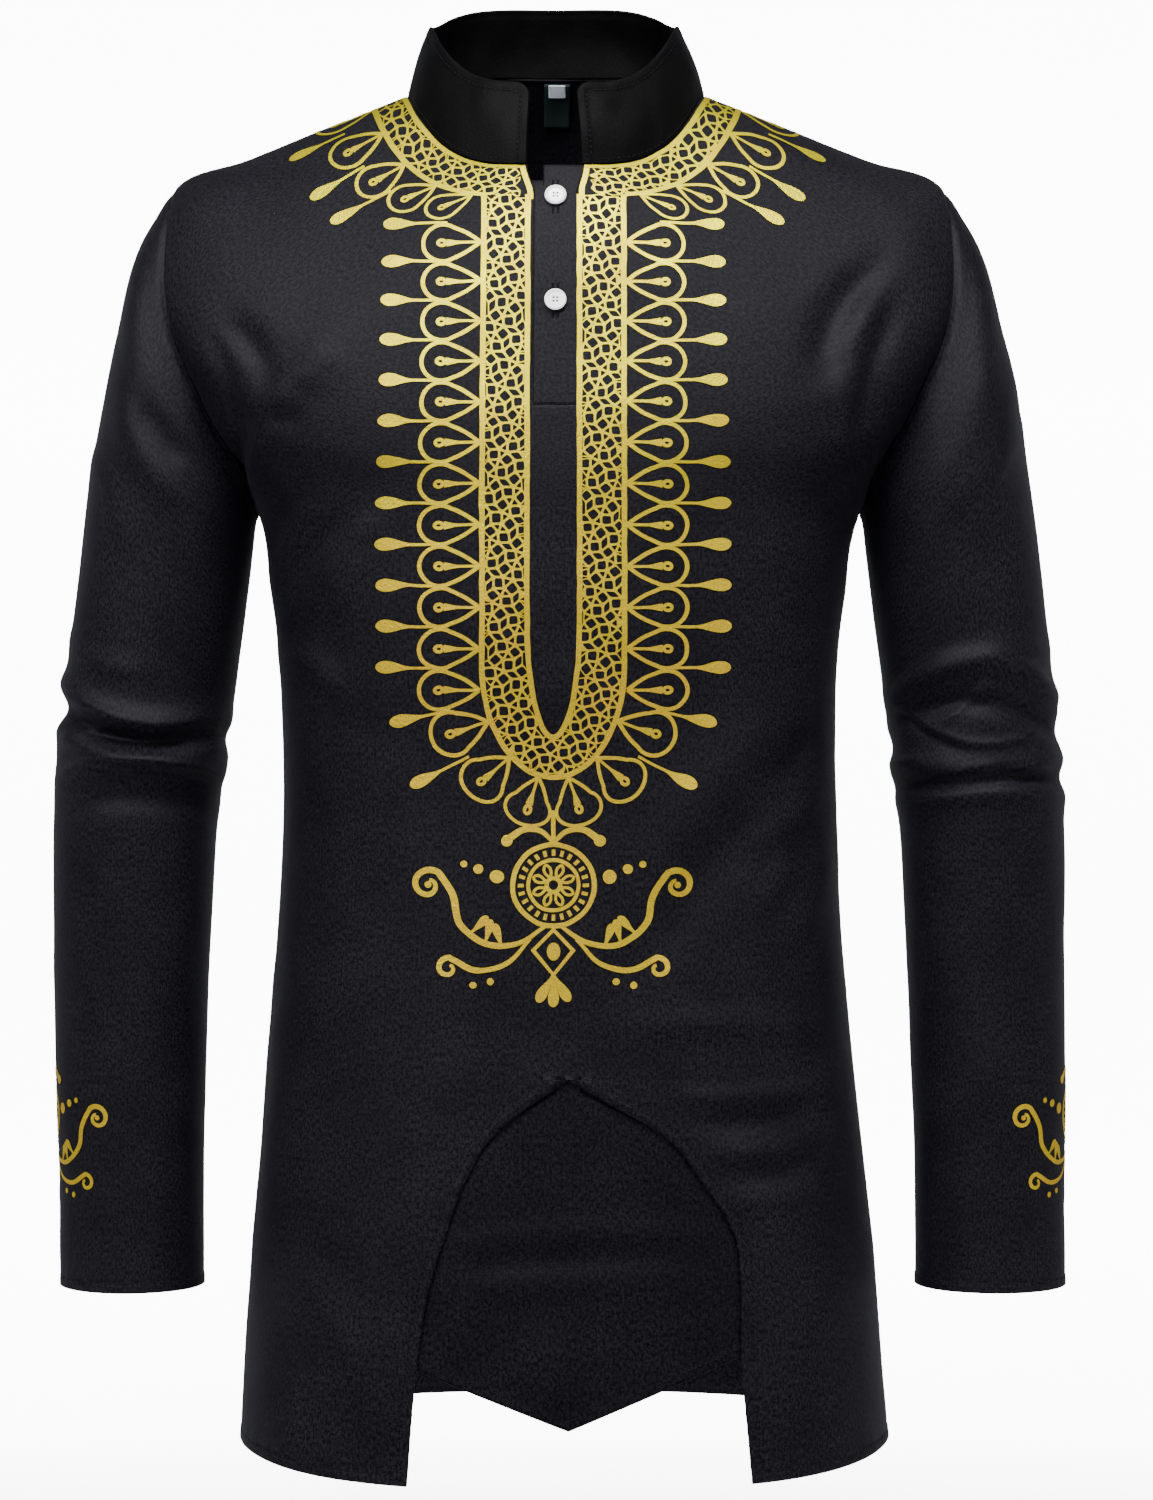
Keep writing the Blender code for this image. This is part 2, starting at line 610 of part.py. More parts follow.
def make_plackets(material):
    rows = STRIP_GRID[0] + 1
    top = front_z_at(0.0)
    z = np.linspace(top - OVER_STRIP_DROP, SLIT_BOTTOM + SEAM_GAP, rows)
    z = np.sort(np.append(z, STRIP_NOTCH_END))[::-1]
    left = np.where(z > STRIP_NOTCH_END, STRIP_LEFT_TOP, SEAM_GAP - SLIT_HALF)
    make_strip("placket_over", z, left, slit_half(z) - SEAM_GAP, 0.0, material)
    z = np.linspace(top - UNDER_STRIP_DROP, SLIT_BOTTOM - UNDER_STRIP_PAST, rows)
    half = np.full_like(z, UNDER_STRIP_HALF)
    make_strip("placket_under", z, -half, half, -UNDER_LAYER, material)


def make_label(name, half, top, length, depth, material):
    """A woven label laid on the inside of the back, from the back's own points."""
    rows, columns = LABEL_GRID
    station = np.linspace(top, top + length, rows + 1)[:, None]
    x = np.linspace(half, -half, columns + 1)[None, :]
    station, x = np.broadcast_arrays(station, x)
    phi = pi - phi_at(station, x)
    points, normals = torso_grid(station, phi)
    return make_shell(name, [(points - depth * normals, normals, None)], material, LABEL_CLOTH)


def button_profile():
    """Half section of a button: flat back, round edge, raised rim and dished middle."""
    r, h, rim = BUTTON_RADIUS, BUTTON_HEIGHT, BUTTON_RIM
    return [
        (0.0, 0.0),
        (r - 1.3, 0.0),
        (r - 0.4, 0.5),
        (r, 1.2),
        (r - 0.25, h - 0.3),
        (r - 0.7, h),
        (r - rim, h - 0.25),
        (r - rim - 0.7, h - 0.8),
        (0.0, h - 0.9),
    ]


def make_button(name, z, material):
    """A four-hole button standing on the placket."""
    segments = BUTTON_SEGMENTS
    profile = button_profile()
    vertices = [(0.0, 0.0, profile[0][1]), (0.0, 0.0, profile[-1][1])]
    for radius, height in profile[1:-1]:
        for k in range(segments):
            turn = 2 * pi * k / segments
            vertices.append((radius * np.cos(turn), radius * np.sin(turn), height))
    rings = len(profile) - 2
    faces = []
    for k in range(segments):
        after = (k + 1) % segments
        faces.append((0, 2 + after, 2 + k))
        last = 2 + (rings - 1) * segments
        faces.append((1, last + k, last + after))
        for ring in range(rings - 1):
            low, high = 2 + ring * segments, 2 + (ring + 1) * segments
            faces.append((low + k, low + after, high + after, high + k))
    mesh = bpy.data.meshes.new(name)
    mesh.from_pydata([tuple(c * MM for c in v) for v in vertices], [], faces)
    mesh.shade_smooth()
    mesh.set_sharp_from_angle(angle=np.radians(40))
    mesh.materials.append(material)
    button = add_object(name, mesh)
    station = station_of_front(z)
    phi = phi_at(station, 0.0)
    point, normal = torso_grid(np.array(station), np.array(phi))
    place = Matrix.Translation(Vector((point + normal * SEAM_GAP) * MM))
    button.matrix_world = place @ Vector(normal).to_track_quat("Z", "Y").to_matrix().to_4x4()
    for k in range(4):
        drill_hole(button, k, name)
    return button


def drill_hole(button, k, name):
    """Cuts one of the four thread holes."""
    turn = pi / 4 + k * pi / 2
    across = BUTTON_HOLE_SPREAD * MM
    sides = BUTTON_HOLE_SIDES
    vertices = []
    for height in (-1.0, BUTTON_HEIGHT + 1.0):
        for i in range(sides):
            angle = 2 * pi * i / sides
            vertices.append((BUTTON_HOLE * np.cos(angle) * MM, BUTTON_HOLE * np.sin(angle) * MM, height * MM))
    faces = [tuple(range(sides))[::-1], tuple(range(sides, 2 * sides))]
    faces += [(i, (i + 1) % sides, sides + (i + 1) % sides, sides + i) for i in range(sides)]
    mesh = bpy.data.meshes.new(f"{name}_hole_{k}")
    mesh.from_pydata(vertices, [], faces)
    drill = add_object(f"{name}_hole_{k}", mesh)
    drill.parent = button
    drill.location = (across * np.cos(turn), across * np.sin(turn), 0)
    drill.hide_render = True
    drill.display_type = "WIRE"
    cut = button.modifiers.new(f"Hole {k}", "BOOLEAN")
    cut.operation = "DIFFERENCE"
    cut.object = drill


def main():
    for obj in list(bpy.data.objects):
        bpy.data.objects.remove(obj, do_unlink=True)
    cloth = make_material("black satin cotton", (0.012, 0.011, 0.016), 0.62)
    button = make_material("white button", (0.86, 0.86, 0.88), 0.3)
    label = make_material("dark woven label", (0.006, 0.02, 0.018), 0.5)
    tab = make_material("white woven tab", (0.75, 0.78, 0.84), 0.7)
    make_front(cloth)
    make_insert(cloth)
    make_back(cloth)
    make_sleeve("sleeve_left", -1, cloth)
    make_sleeve("sleeve_right", 1, cloth)
    make_collar(cloth)
    make_plackets(cloth)
    for name, z in BUTTONS.items():
        make_button(name, z, button)
    make_label("neck_label", LABEL_HALF, LABEL_TOP, LABEL_LENGTH, UNDER_LAYER, label)
    depth = UNDER_LAYER + LABEL_CLOTH + SEAM_GAP
    make_label("size_tab", TAB_HALF, LABEL_TOP, TAB_LENGTH, depth, tab)


main()
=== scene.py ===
"""The looks of the shirt: its cloth, seams, stitching, foil print, buttons and studio.

Tables are in millimetres. +X is to the viewer's right, -Y is the front and +Z is up.
"""

from math import pi

import bpy
import numpy as np
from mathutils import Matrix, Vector
from mathutils.geometry import delaunay_2d_cdt


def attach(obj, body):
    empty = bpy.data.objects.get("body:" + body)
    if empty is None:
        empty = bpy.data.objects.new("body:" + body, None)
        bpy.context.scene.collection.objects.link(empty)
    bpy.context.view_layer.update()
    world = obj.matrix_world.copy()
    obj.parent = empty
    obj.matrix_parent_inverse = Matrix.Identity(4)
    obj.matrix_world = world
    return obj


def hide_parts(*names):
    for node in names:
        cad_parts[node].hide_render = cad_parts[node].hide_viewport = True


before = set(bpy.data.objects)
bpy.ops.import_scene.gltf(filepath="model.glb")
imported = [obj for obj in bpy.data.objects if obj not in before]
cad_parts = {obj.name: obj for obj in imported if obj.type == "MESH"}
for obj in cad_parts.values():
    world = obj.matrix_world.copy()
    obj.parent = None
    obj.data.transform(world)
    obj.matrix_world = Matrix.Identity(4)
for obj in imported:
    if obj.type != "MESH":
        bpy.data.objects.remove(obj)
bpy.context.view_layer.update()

MM = 0.001

# Cloth and seams
CLOTH = 1.4
COLLAR_CLOTH = 2.0
LABEL_CLOTH = 1.0
SEAM_GAP = 0.3
UNDER_LAYER = CLOTH + SEAM_GAP
INSERT_DEPTH = 2.3

# Neck slit and its strips
SLIT_HALF = 11.7
SLIT_TOP_HALF = 15.8
SLIT_FLARE_START = -50.0
SLIT_FLARE_END = -68.0
SLIT_BOTTOM = -184.0
STRIP_LEFT_TOP = -6.3
STRIP_NOTCH_END = -64.0
UNDER_STRIP_HALF = 15.2
UNDER_STRIP_DROP = 9.0

# Stand collar; its top ring's sizes have the order of the body's columns
COLLAR_TOP = (71, 68, 69, 42, 38, -5, 56, 0.0)
COLLAR_HEIGHT = 46.0
COLLAR_BOW = 1.6
COLLAR_LIFT = 0.45
COLLAR_OPENING_LEFT = 15.6
COLLAR_OPENING_RIGHT = 15.0
COLLAR_CORNER = 9.0

# Arch let into the front hem
ARCH_CENTRE = 7.0
ARCH_TOP = -540.0
INSERT_UNDERLAP = 6.0
INSERT_APEX_RISE = 9.0
INSERT_SIDE_LEFT = -692.0
INSERT_SIDE_RIGHT = -685.0
INSERT_POINT = -725.0
INSERT_REACH_LEFT = 86.0
INSERT_REACH_RIGHT = 96.0

# Armhole: how far its seam comes in from the side, in degrees
ARMHOLE_DIP_FRONT = 25.0
ARMHOLE_DIP_BACK = 21.0
ARMHOLE_SHARE_START = 0.45

# How far a sleeve falls for each step out, over and under the arm
SLEEVE_FALL_OVER = 0.1
SLEEVE_FALL_UNDER = 1.2

# Buttons
BUTTON_HEIGHT = 2.4
BUTTON_HOLE_SPREAD = 1.35
BUTTONS = {"button_upper": -69.3, "button_lower": -127.3}

# Labels inside the back neck
LABEL_HALF = 7.2
LABEL_TOP = 2.5
LABEL_LENGTH = 27.0
TAB_HALF = 4.6
TAB_LENGTH = 7.5

# Level rings of the body, from the neck down: half-widths, depths and heights
TORSO_COLUMNS = ("left", "right", "front", "back", "side_z", "front_z", "back_z", "square", "rows")
TORSO = {
    "neck": (83, 82, 78, 50, 0, -50, 19, 0.00, 3),
    "yoke": (125, 126, 91, 73, -17, -79, -13, 0.01, 3),
    "shoulder": (172, 174, 102, 89, -36, -113, -52, 0.02, 2),
    "tip": (213, 216, 110, 100, -53, -150, -97, 0.03, 0),
    "upper_arm": (227, 230, 115, 105, -98, -178, -136, 0.04, 0),
    "lower_arm": (205, 208, 118, 108, -166, -206, -184, 0.05, 0),
    "armpit": (167, 170, 119, 109, -233, -233, -233, 0.05, 2),
    "ribs": (159, 161, 119, 106, -282, -282, -282, 0.05, 4),
    "waist": (152, 156, 112, 95, -378, -378, -378, 0.05, 4),
    "belly": (156, 160, 113, 100, -470, -470, -470, 0.05, 3),
    "arch_top": (162, 166, 115, 106, -540, -540, -540, 0.05, 4),
    "hip": (168, 174, 118, 112, -618, -618, -618, 0.05, 3),
    "thigh": (173, 181, 120, 115, -690, -691, -689, 0.05, 2),
    "hem": (176, 185, 120, 116, -747, -756, -745, 0.05, 0),
}

# Rings of a sleeve, from the armhole down: outer and inner points, and depths
SLEEVE_COLUMNS = (
    "outer_left", "outer_right", "outer_z", "inner_left", "inner_right", "inner_z",
    "front", "back", "rows",
)
SLEEVE = {
    "cap": (213, 216, -53, 167, 170, -233, 48, 46, 2),
    "high": (230, 233, -80, 168.4, 171.4, -241, 56, 54, 2),
    "upper": (245, 249, -133, 170.5, 173.5, -258, 60, 58, 2),
    "biceps": (256, 260, -190, 174, 177, -286, 60, 58, 3),
    "above": (266, 270, -258, 179, 182, -322, 57, 56, 6),
    "elbow": (275, 278, -335, 184.5, 187, -360, 53, 52, 7),
    "below": (281, 283, -402, 190, 192, -406, 50, 48, 3),
    "forearm": (281, 284, -480, 194, 196, -480, 46, 44, 3),
    "low": (279, 284.5, -570, 197, 200, -570, 43, 41, 3),
    "cuff": (277, 284, -664, 197, 201, -664, 41, 39, 0),
}
ARMHOLE_FADE = 120.0
SLEEVE_FOLDS_RAMP = (4.0, 40.0)

# Half-widths of the arch below its point
ARCH_COLUMNS = ("left", "right")
ARCH = {
    0.0: (0.0, 0.0),
    12.0: (18.0, 20.0),
    28.0: (38.0, 47.0),
    55.0: (54.5, 69.0),
    84.0: (64.5, 85.0),
    110.0: (72.0, 88.0),
    150.0: (78.0, 88.5),
    216.0: (83.5, 94.0),
}

# Main folds as the front view shows them; face is -1 in front and 1 behind
FOLD_COLUMNS = ("x0", "z0", "x1", "z1", "sag", "width", "height", "face")
FOLD_END_RAMP = (-0.15, 0.3)
FOLD_FACE_RAMP = (-0.45, 0.25)
TORSO_FOLDS = {
    "left armpit hollow": (-176, -132, -155, -184, 5, 9, -5.0, -1),
    "left chest ridge": (-118, -146, -154, -186, 3, 11, 4.0, -1),
    "left chest hollow": (-130, -168, -152, -194, 2, 8, -3.5, -1),
    "left drag upper": (-122, -230, -154, -268, -3, 8, 3.0, -1),
    "left drag lower": (-92, -240, -128, -284, -4, 9, 2.5, -1),
    "right armpit hollow": (177, -100, 142, -168, -8, 9, -5.0, -1),
    "right chest ridge": (173, -118, 156, -196, -5, 9, 4.0, -1),
    "right side hollow": (183, -124, 163, -206, -4, 7, -4.5, -1),
    "right waist ridge": (128, -342, 60, -424, -6, 15, 3.5, -1),
    "right waist hollow": (112, -402, 52, -478, -6, 14, -3.5, -1),
    "right side drag": (148, -418, 126, -470, 3, 9, 2.5, -1),
    "left waist hollow": (-150, -296, -112, -322, 4, 12, -3.0, -1),
    "back left shoulder": (-150, -118, -112, -196, 7, 13, -4.5, 1),
    "back right shoulder": (152, -112, 118, -204, -7, 12, -4.5, 1),
    "back left drag": (-148, -238, -88, -282, -5, 12, 3.5, 1),
    "back right drag": (150, -236, 96, -290, 5, 12, 3.5, 1),
    "back waist upper": (-104, -352, 88, -344, -12, 15, 4.0, 1),
    "back waist lower": (-78, -402, 116, -408, 10, 16, -4.0, 1),
}
LEFT_FOLDS = {
    "cap drag": (-236, -168, -196, -236, -8, 10, 3.5, -1),
    "cap hollow": (-226, -176, -198, -210, -4, 8, -3.5, -1),
    "elbow first": (-280, -322, -190, -346, -14, 7, 4.5, -1),
    "elbow deep": (-280, -338, -188, -359, -12, 6, -5.0, -1),
    "elbow second": (-282, -352, -184, -366, -9, 7, 4.5, -1),
    "elbow third": (-276, -381, -184, -382, 9, 7, 4.0, -1),
    "elbow lower": (-268, -396, -188, -398, 6, 8, -3.5, -1),
    "back elbow first": (-282, -326, -184, -350, -8, 8, 4.5, 1),
    "back elbow deep": (-284, -345, -184, -360, 5, 7, -4.5, 1),
    "back elbow second": (-284, -366, -184, -374, 7, 8, 4.5, 1),
    "back elbow third": (-278, -392, -186, -396, -5, 9, 3.0, 1),
}
RIGHT_FOLDS = {
    "cap drag": (238, -150, 196, -232, 8, 10, 3.5, -1),
    "cap outer drag": (252, -150, 204, -242, 12, 9, 3.0, -1),
    "elbow first": (282, -342, 186, -336, -22, 7, 5.0, -1),
    "elbow deep": (276, -358, 188, -350, -14, 6, -4.5, -1),
    "elbow second": (284, -370, 188, -374, 5, 7, 4.5, -1),
    "elbow crease": (282, -380, 190, -386, -3, 6, -5.0, -1),
    "elbow third": (286, -392, 192, -392, -4, 7, 3.5, -1),
    "back elbow first": (284, -336, 186, -352, -6, 8, 4.5, 1),
    "back elbow deep": (282, -354, 186, -364, 4, 7, -4.5, 1),
    "back elbow second": (284, -372, 186, -378, 6, 8, 4.5, 1),
    "back elbow third": (286, -396, 190, -394, -6, 9, 3.0, 1),
}

# Steps in which the front's heights are looked up
FINE_STATIONS = 1500


def table_column(table, columns, name):
    index = columns.index(name)
    return np.array([row[index] for row in table.values()], float)


def smooth(stations, values, at):
    """A curve through the values, cubic between stations, with the chord's slope at each."""
    at = np.asarray(at, float)
    slopes = np.gradient(values, stations)
    cell = np.clip(np.searchsorted(stations, at, side="right") - 1, 0, len(stations) - 2)
    width = stations[cell + 1] - stations[cell]
    t = (at - stations[cell]) / width
    start, end = values[cell], values[cell + 1]
    rise = t * t * (3 - 2 * t)
    lead = t * (1 - t) ** 2 * width * slopes[cell]
    tail = t * t * (1 - t) * width * slopes[cell + 1]
    return start + (end - start) * rise + lead - tail


def ramp(value, low, high):
    t = np.clip((value - low) / (high - low), 0, 1)
    return t * t * (3 - 2 * t)


def stations_of(*paths):
    """Distances down the rings, the mean of the paths' own lengths."""
    steps = [np.linalg.norm(np.diff(np.stack(path, axis=1), axis=0), axis=1) for path in paths]
    return np.concatenate([[0], np.cumsum(np.mean(steps, axis=0))])


TORSO_VALUES = {name: table_column(TORSO, TORSO_COLUMNS, name) for name in TORSO_COLUMNS}
TORSO_STATIONS = stations_of(
    (TORSO_VALUES["left"], TORSO_VALUES["side_z"]),
    (TORSO_VALUES["front"], TORSO_VALUES["front_z"]),
    (TORSO_VALUES["back"], TORSO_VALUES["back_z"]),
)
TORSO_AT = dict(zip(TORSO, TORSO_STATIONS))

SLEEVE_VALUES = {name: table_column(SLEEVE, SLEEVE_COLUMNS, name) for name in SLEEVE_COLUMNS}
SLEEVE_STATIONS = stations_of(
    (SLEEVE_VALUES["outer_left"], SLEEVE_VALUES["outer_z"]),
    (SLEEVE_VALUES["inner_left"], SLEEVE_VALUES["inner_z"]),
)


def fold_height(folds, points, facing, sharp=False):
    """How far the folds lift the cloth at each point; facing is the normal's Y."""
    x, z = points[..., 0], points[..., 2]
    total = np.zeros_like(x)
    for row in folds.values():
        fold = dict(zip(FOLD_COLUMNS, row))
        run = np.array([fold["x1"] - fold["x0"], fold["z1"] - fold["z0"]], float)
        length = np.hypot(*run)
        along = ((x - fold["x0"]) * run[0] + (z - fold["z0"]) * run[1]) / length
        across = ((z - fold["z0"]) * run[0] - (x - fold["x0"]) * run[1]) / length
        t = np.clip(along / length, 0, 1)
        off = across - fold["sag"] * 4 * t * (1 - t)
        past = along - t * length
        if sharp:
            top = np.exp(-((np.sqrt(off**2 + past**2 + 0.4) / fold["width"]) ** 1.35))
        else:
            top = np.exp(-(off**2 + past**2) / fold["width"] ** 2)
        ends = ramp(t, *FOLD_END_RAMP) * ramp(1 - t, *FOLD_END_RAMP)
        share = ramp(fold["face"] * facing, *FOLD_FACE_RAMP)
        total += fold["height"] * top * ends * share
    return total


def torso_form(station, phi):
    """A point of the body's smooth form; phi is 0 in front and a quarter turn at the right."""
    names = TORSO_COLUMNS[:-1]
    sizes = {name: smooth(TORSO_STATIONS, TORSO_VALUES[name], station) for name in names}
    return level_ring(sizes, phi)


def level_ring(v, phi):
    """A point of a ring round the body with these sizes by column."""
    side, ahead = np.sin(phi), np.cos(phi)
    squared = 1 + v["square"] * np.sin(2 * phi) ** 2
    x = (v["right"] - v["left"]) / 2 + (v["right"] + v["left"]) / 2 * side * squared
    y = -np.where(ahead > 0, v["front"], v["back"]) * ahead * squared
    lowest = np.where(ahead > 0, v["front_z"], v["back_z"])
    z = v["side_z"] + (lowest - v["side_z"]) * (1 - side**4)
    return np.stack(np.broadcast_arrays(x, y, z), axis=-1)


def unit(vectors):
    return vectors / np.linalg.norm(vectors, axis=-1, keepdims=True)


def normals_of(surface, first, second, turn=1.0):
    step_1, step_2 = 0.2, 0.002
    along = surface(first + step_1, second) - surface(first - step_1, second)
    round_it = surface(first, second + step_2) - surface(first, second - step_2)
    return unit(np.cross(along, round_it) * turn)


def torso(station, phi):
    """The body's cloth: its form with the folds on it."""
    points = torso_form(station, phi)
    normal = normals_of(torso_form, station, phi)
    lift = fold_height(TORSO_FOLDS, points, normal[..., 1])
    return points + normal * lift[..., None]


def armhole_phi(station, dip):
    """The angle of the panels' side edge: the side itself, but for the round armhole."""
    top, bottom = TORSO_AT["tip"], TORSO_AT["armpit"]
    t = np.clip((station - top) / (bottom - top), 0, 1)
    return pi / 2 - np.radians(dip) * 2 * np.sqrt(t * (1 - t))


def sleeve_ring(side, sizes, psi):
    """A point of a sleeve's ring; psi is 0 at the outer side and grows to the front."""
    name = "left" if side < 0 else "right"
    out, ahead = np.cos(psi), np.sin(psi)
    outer, inner = side * sizes["outer_" + name], side * sizes["inner_" + name]
    x = (outer + inner) / 2 + (outer - inner) / 2 * out
    z = (sizes["outer_z"] + sizes["inner_z"]) / 2 + (sizes["outer_z"] - sizes["inner_z"]) / 2 * out
    y = -np.where(ahead > 0, sizes["front"], sizes["back"]) * ahead
    return np.stack(np.broadcast_arrays(x, y, z), axis=-1)


def sleeve_form(side, station, psi):
    """A point of a sleeve's smooth form, led from the armhole into the table's rings."""
    names = SLEEVE_COLUMNS[:-1]
    sizes = {name: smooth(SLEEVE_STATIONS, SLEEVE_VALUES[name], station) for name in names}
    first = {name: SLEEVE_VALUES[name][0] for name in names}
    ring = sleeve_ring(side, sizes, psi)
    keep = (1 - ramp(station, 0, ARMHOLE_FADE))[..., None]
    if not keep.any():
        return ring
    return ring + keep * (armhole(side, psi) - sleeve_ring(side, first, psi))


def armhole_station(psi):
    """How far down the body the armhole seam is at this angle round the sleeve."""
    share = (1 - np.cos(psi)) / 2
    return TORSO_AT["tip"] + share * (TORSO_AT["armpit"] - TORSO_AT["tip"])


def armhole_place(side, psi):
    """Station and phi of the armhole seam at this angle round the sleeve."""
    dip = np.where(np.sin(psi) >= 0, ARMHOLE_DIP_FRONT, ARMHOLE_DIP_BACK)
    return armhole_station(psi), side * (pi / 2 - np.radians(dip) * np.sin(psi))


def armhole(side, psi):
    """The sleeve's first ring: the armhole curve, set out by the seam's gap."""
    station, phi = armhole_place(side, psi)
    return torso(station, phi) + armhole_outward(side, psi) * SEAM_GAP


def armhole_outward(side, psi):
    """The direction in which the sleeve leaves the armhole."""
    t = np.abs(np.mod(psi, 2 * pi) - pi) / pi
    x = np.full_like(t, 1.0) * side
    z = -SLEEVE_FALL_UNDER + (SLEEVE_FALL_UNDER - SLEEVE_FALL_OVER) * t
    outward = np.stack(np.broadcast_arrays(x, np.zeros_like(t), z), axis=-1)
    return outward / np.linalg.norm(outward, axis=-1, keepdims=True)


def sleeve(side, station, psi):
    """A sleeve's cloth: its form with the folds on it."""
    folds = LEFT_FOLDS if side < 0 else RIGHT_FOLDS
    points = sleeve_form(side, station, psi)
    normal = normals_of(lambda a, b: sleeve_form(side, a, b), station, psi, -side)
    lift = fold_height(folds, points, normal[..., 1]) * ramp(station, *SLEEVE_FOLDS_RAMP)
    return points + normal * lift[..., None]


def phi_at(station, x):
    """The front angle at which the body's form has this X."""
    left = smooth(TORSO_STATIONS, TORSO_VALUES["left"], station)
    right = smooth(TORSO_STATIONS, TORSO_VALUES["right"], station)
    return np.arcsin(np.clip((x - (right - left) / 2) / ((right + left) / 2), -1, 1))


def on_front(x, z):
    """Station and angle of the front's point at this X and height."""
    station = station_of_front(z)
    return station, phi_at(station, x)


def arch_edge(z, side):
    """X of the arch's edge at this height."""
    drops = np.array(list(ARCH))
    halves = table_column(ARCH, ARCH_COLUMNS, "left" if side < 0 else "right")
    return ARCH_CENTRE + side * smooth(drops, halves, np.clip(ARCH_TOP - z, 0, drops[-1]))


def slit_half(z):
    flare = 1 - ramp(-z, -SLIT_FLARE_START, -SLIT_FLARE_END)
    return SLIT_HALF + (SLIT_TOP_HALF - SLIT_HALF) * flare


def front_z_at(station):
    return smooth(TORSO_STATIONS, TORSO_VALUES["front_z"], station)


def station_of_front(z):
    """The station at which the front's middle has this height."""
    stations = np.linspace(0, TORSO_STATIONS[-1], FINE_STATIONS)
    return np.interp(-np.asarray(z, float), -front_z_at(stations), stations)


def armhole_share(share):
    """How far a column follows the armhole's dip; the columns near the middle stay upright."""
    past = (np.abs(share) - ARMHOLE_SHARE_START) / (1 - ARMHOLE_SHARE_START)
    return np.clip(past, 0, 1) ** 1.5


def torso_grid(station, phi):
    return torso(station, phi), normals_of(torso, station, phi)


# Smaller folds, which only the looks have; columns as above
TORSO_CREASES = {
    "left armpit crease": (-172, -178, -176, -222, 2, 4.5, -3.0, -1),
    "left armpit ridge": (-150, -160, -168, -214, 6, 5, 2.4, -1),
    "left seam hollow": (-187, -140, -172, -196, 2, 5, -2.8, -1),
    "left seam ridge": (-170, -150, -158, -190, 3, 5, 2.4, -1),
    "left drag second": (-110, -240, -142, -276, -3, 5, -2.2, -1),
    "left drag third": (-98, -262, -120, -292, -2, 6, 2.0, -1),
    "right chest crease": (158, -150, 146, -200, -4, 5, -2.6, -1),
    "right chest ridge": (148, -160, 152, -206, -3, 6, 2.4, -1),
    "right waist crease": (140, -352, 118, -386, 2, 7, -2.4, -1),
    "right waist second": (146, -384, 102, -420, 3, 7, 2.4, -1),
    "right drag lower": (124, -424, 110, -452, 1, 6, 2.2, -1),
    "left waist ridge": (-150, -312, -112, -338, 4, 7, 2.2, -1),
    "long belly fold": (46, -512, 150, -518, 3, 8, 2.4, -1),
    "hip drag first": (148, -546, 66, -550, 2, 5, 2.6, -1),
    "hip drag second": (140, -560, 74, -565, 2, 5, -2.6, -1),
    "hip drag third": (146, -574, 82, -580, 2, 5, 2.6, -1),
    "hip drag fourth": (140, -589, 92, -593, 2, 5, -2.4, -1),
    "hip drag fifth": (142, -602, 92, -606, 2, 6, 2.2, -1),
    "insert first": (-52, -626, 84, -622, 3, 6, 1.3, -1),
    "insert second": (-48, -640, 78, -634, 3, 6, -1.3, -1),
    "insert third": (-58, -652, 60, -648, 3, 7, 1.2, -1),
    "insert tip": (-2, -676, 0, -715, 0, 9, 2.2, -1),
    "left leg diagonal": (-150, -640, -96, -720, 6, 14, 2.6, -1),
    "right leg diagonal": (156, -650, 108, -726, -6, 14, 2.6, -1),
    "back left armpit": (-160, -150, -148, -210, 3, 7, -2.8, 1),
    "back right armpit": (162, -146, 150, -214, -3, 7, -2.8, 1),
    "back low sweep": (-120, -560, 96, -600, 12, 20, 3.0, 1),
    "back seat fold": (-96, -500, 118, -520, -8, 12, -2.4, 1),
    "back left skirt": (-112, -640, -86, -735, 4, 16, 3.0, 1),
    "back right skirt": (96, -630, 118, -735, -4, 16, 3.0, 1),
}
LEFT_CREASES = {
    "above elbow": (-270, -306, -222, -322, -5, 5, 2.0, -1),
    "elbow ridge one": (-262, -333, -190, -346, -11.5, 2.6, 2.2, -1),
    "elbow ridge two": (-273, -361, -238, -353, 2, 2.4, 1.8, -1),
    "elbow ridge three": (-266, -360, -201, -365, -6, 2.6, 2.0, -1),
    "elbow ridge four": (-270, -378, -189, -378, 7, 2.6, 2.2, -1),
    "elbow trough one": (-256, -357, -200, -361, -2, 3, -2.6, -1),
    "elbow trough two": (-268, -387, -190, -385, 4, 4.5, -2.2, -1),
    "upper drag": (-262, -196, -232, -262, 4, 9, 2.0, -1),
    "fore drag": (-266, -470, -240, -560, 3, 10, 1.6, -1),
    "back above elbow": (-278, -302, -200, -330, 6, 7, 2.6, 1),
    "back elbow crease one": (-284, -336, -196, -354, 4, 4, -2.8, 1),
    "back elbow crease two": (-284, -356, -190, -368, 5, 4, 2.4, 1),
    "back elbow crease three": (-282, -380, -196, -386, -3, 4, -2.6, 1),
}
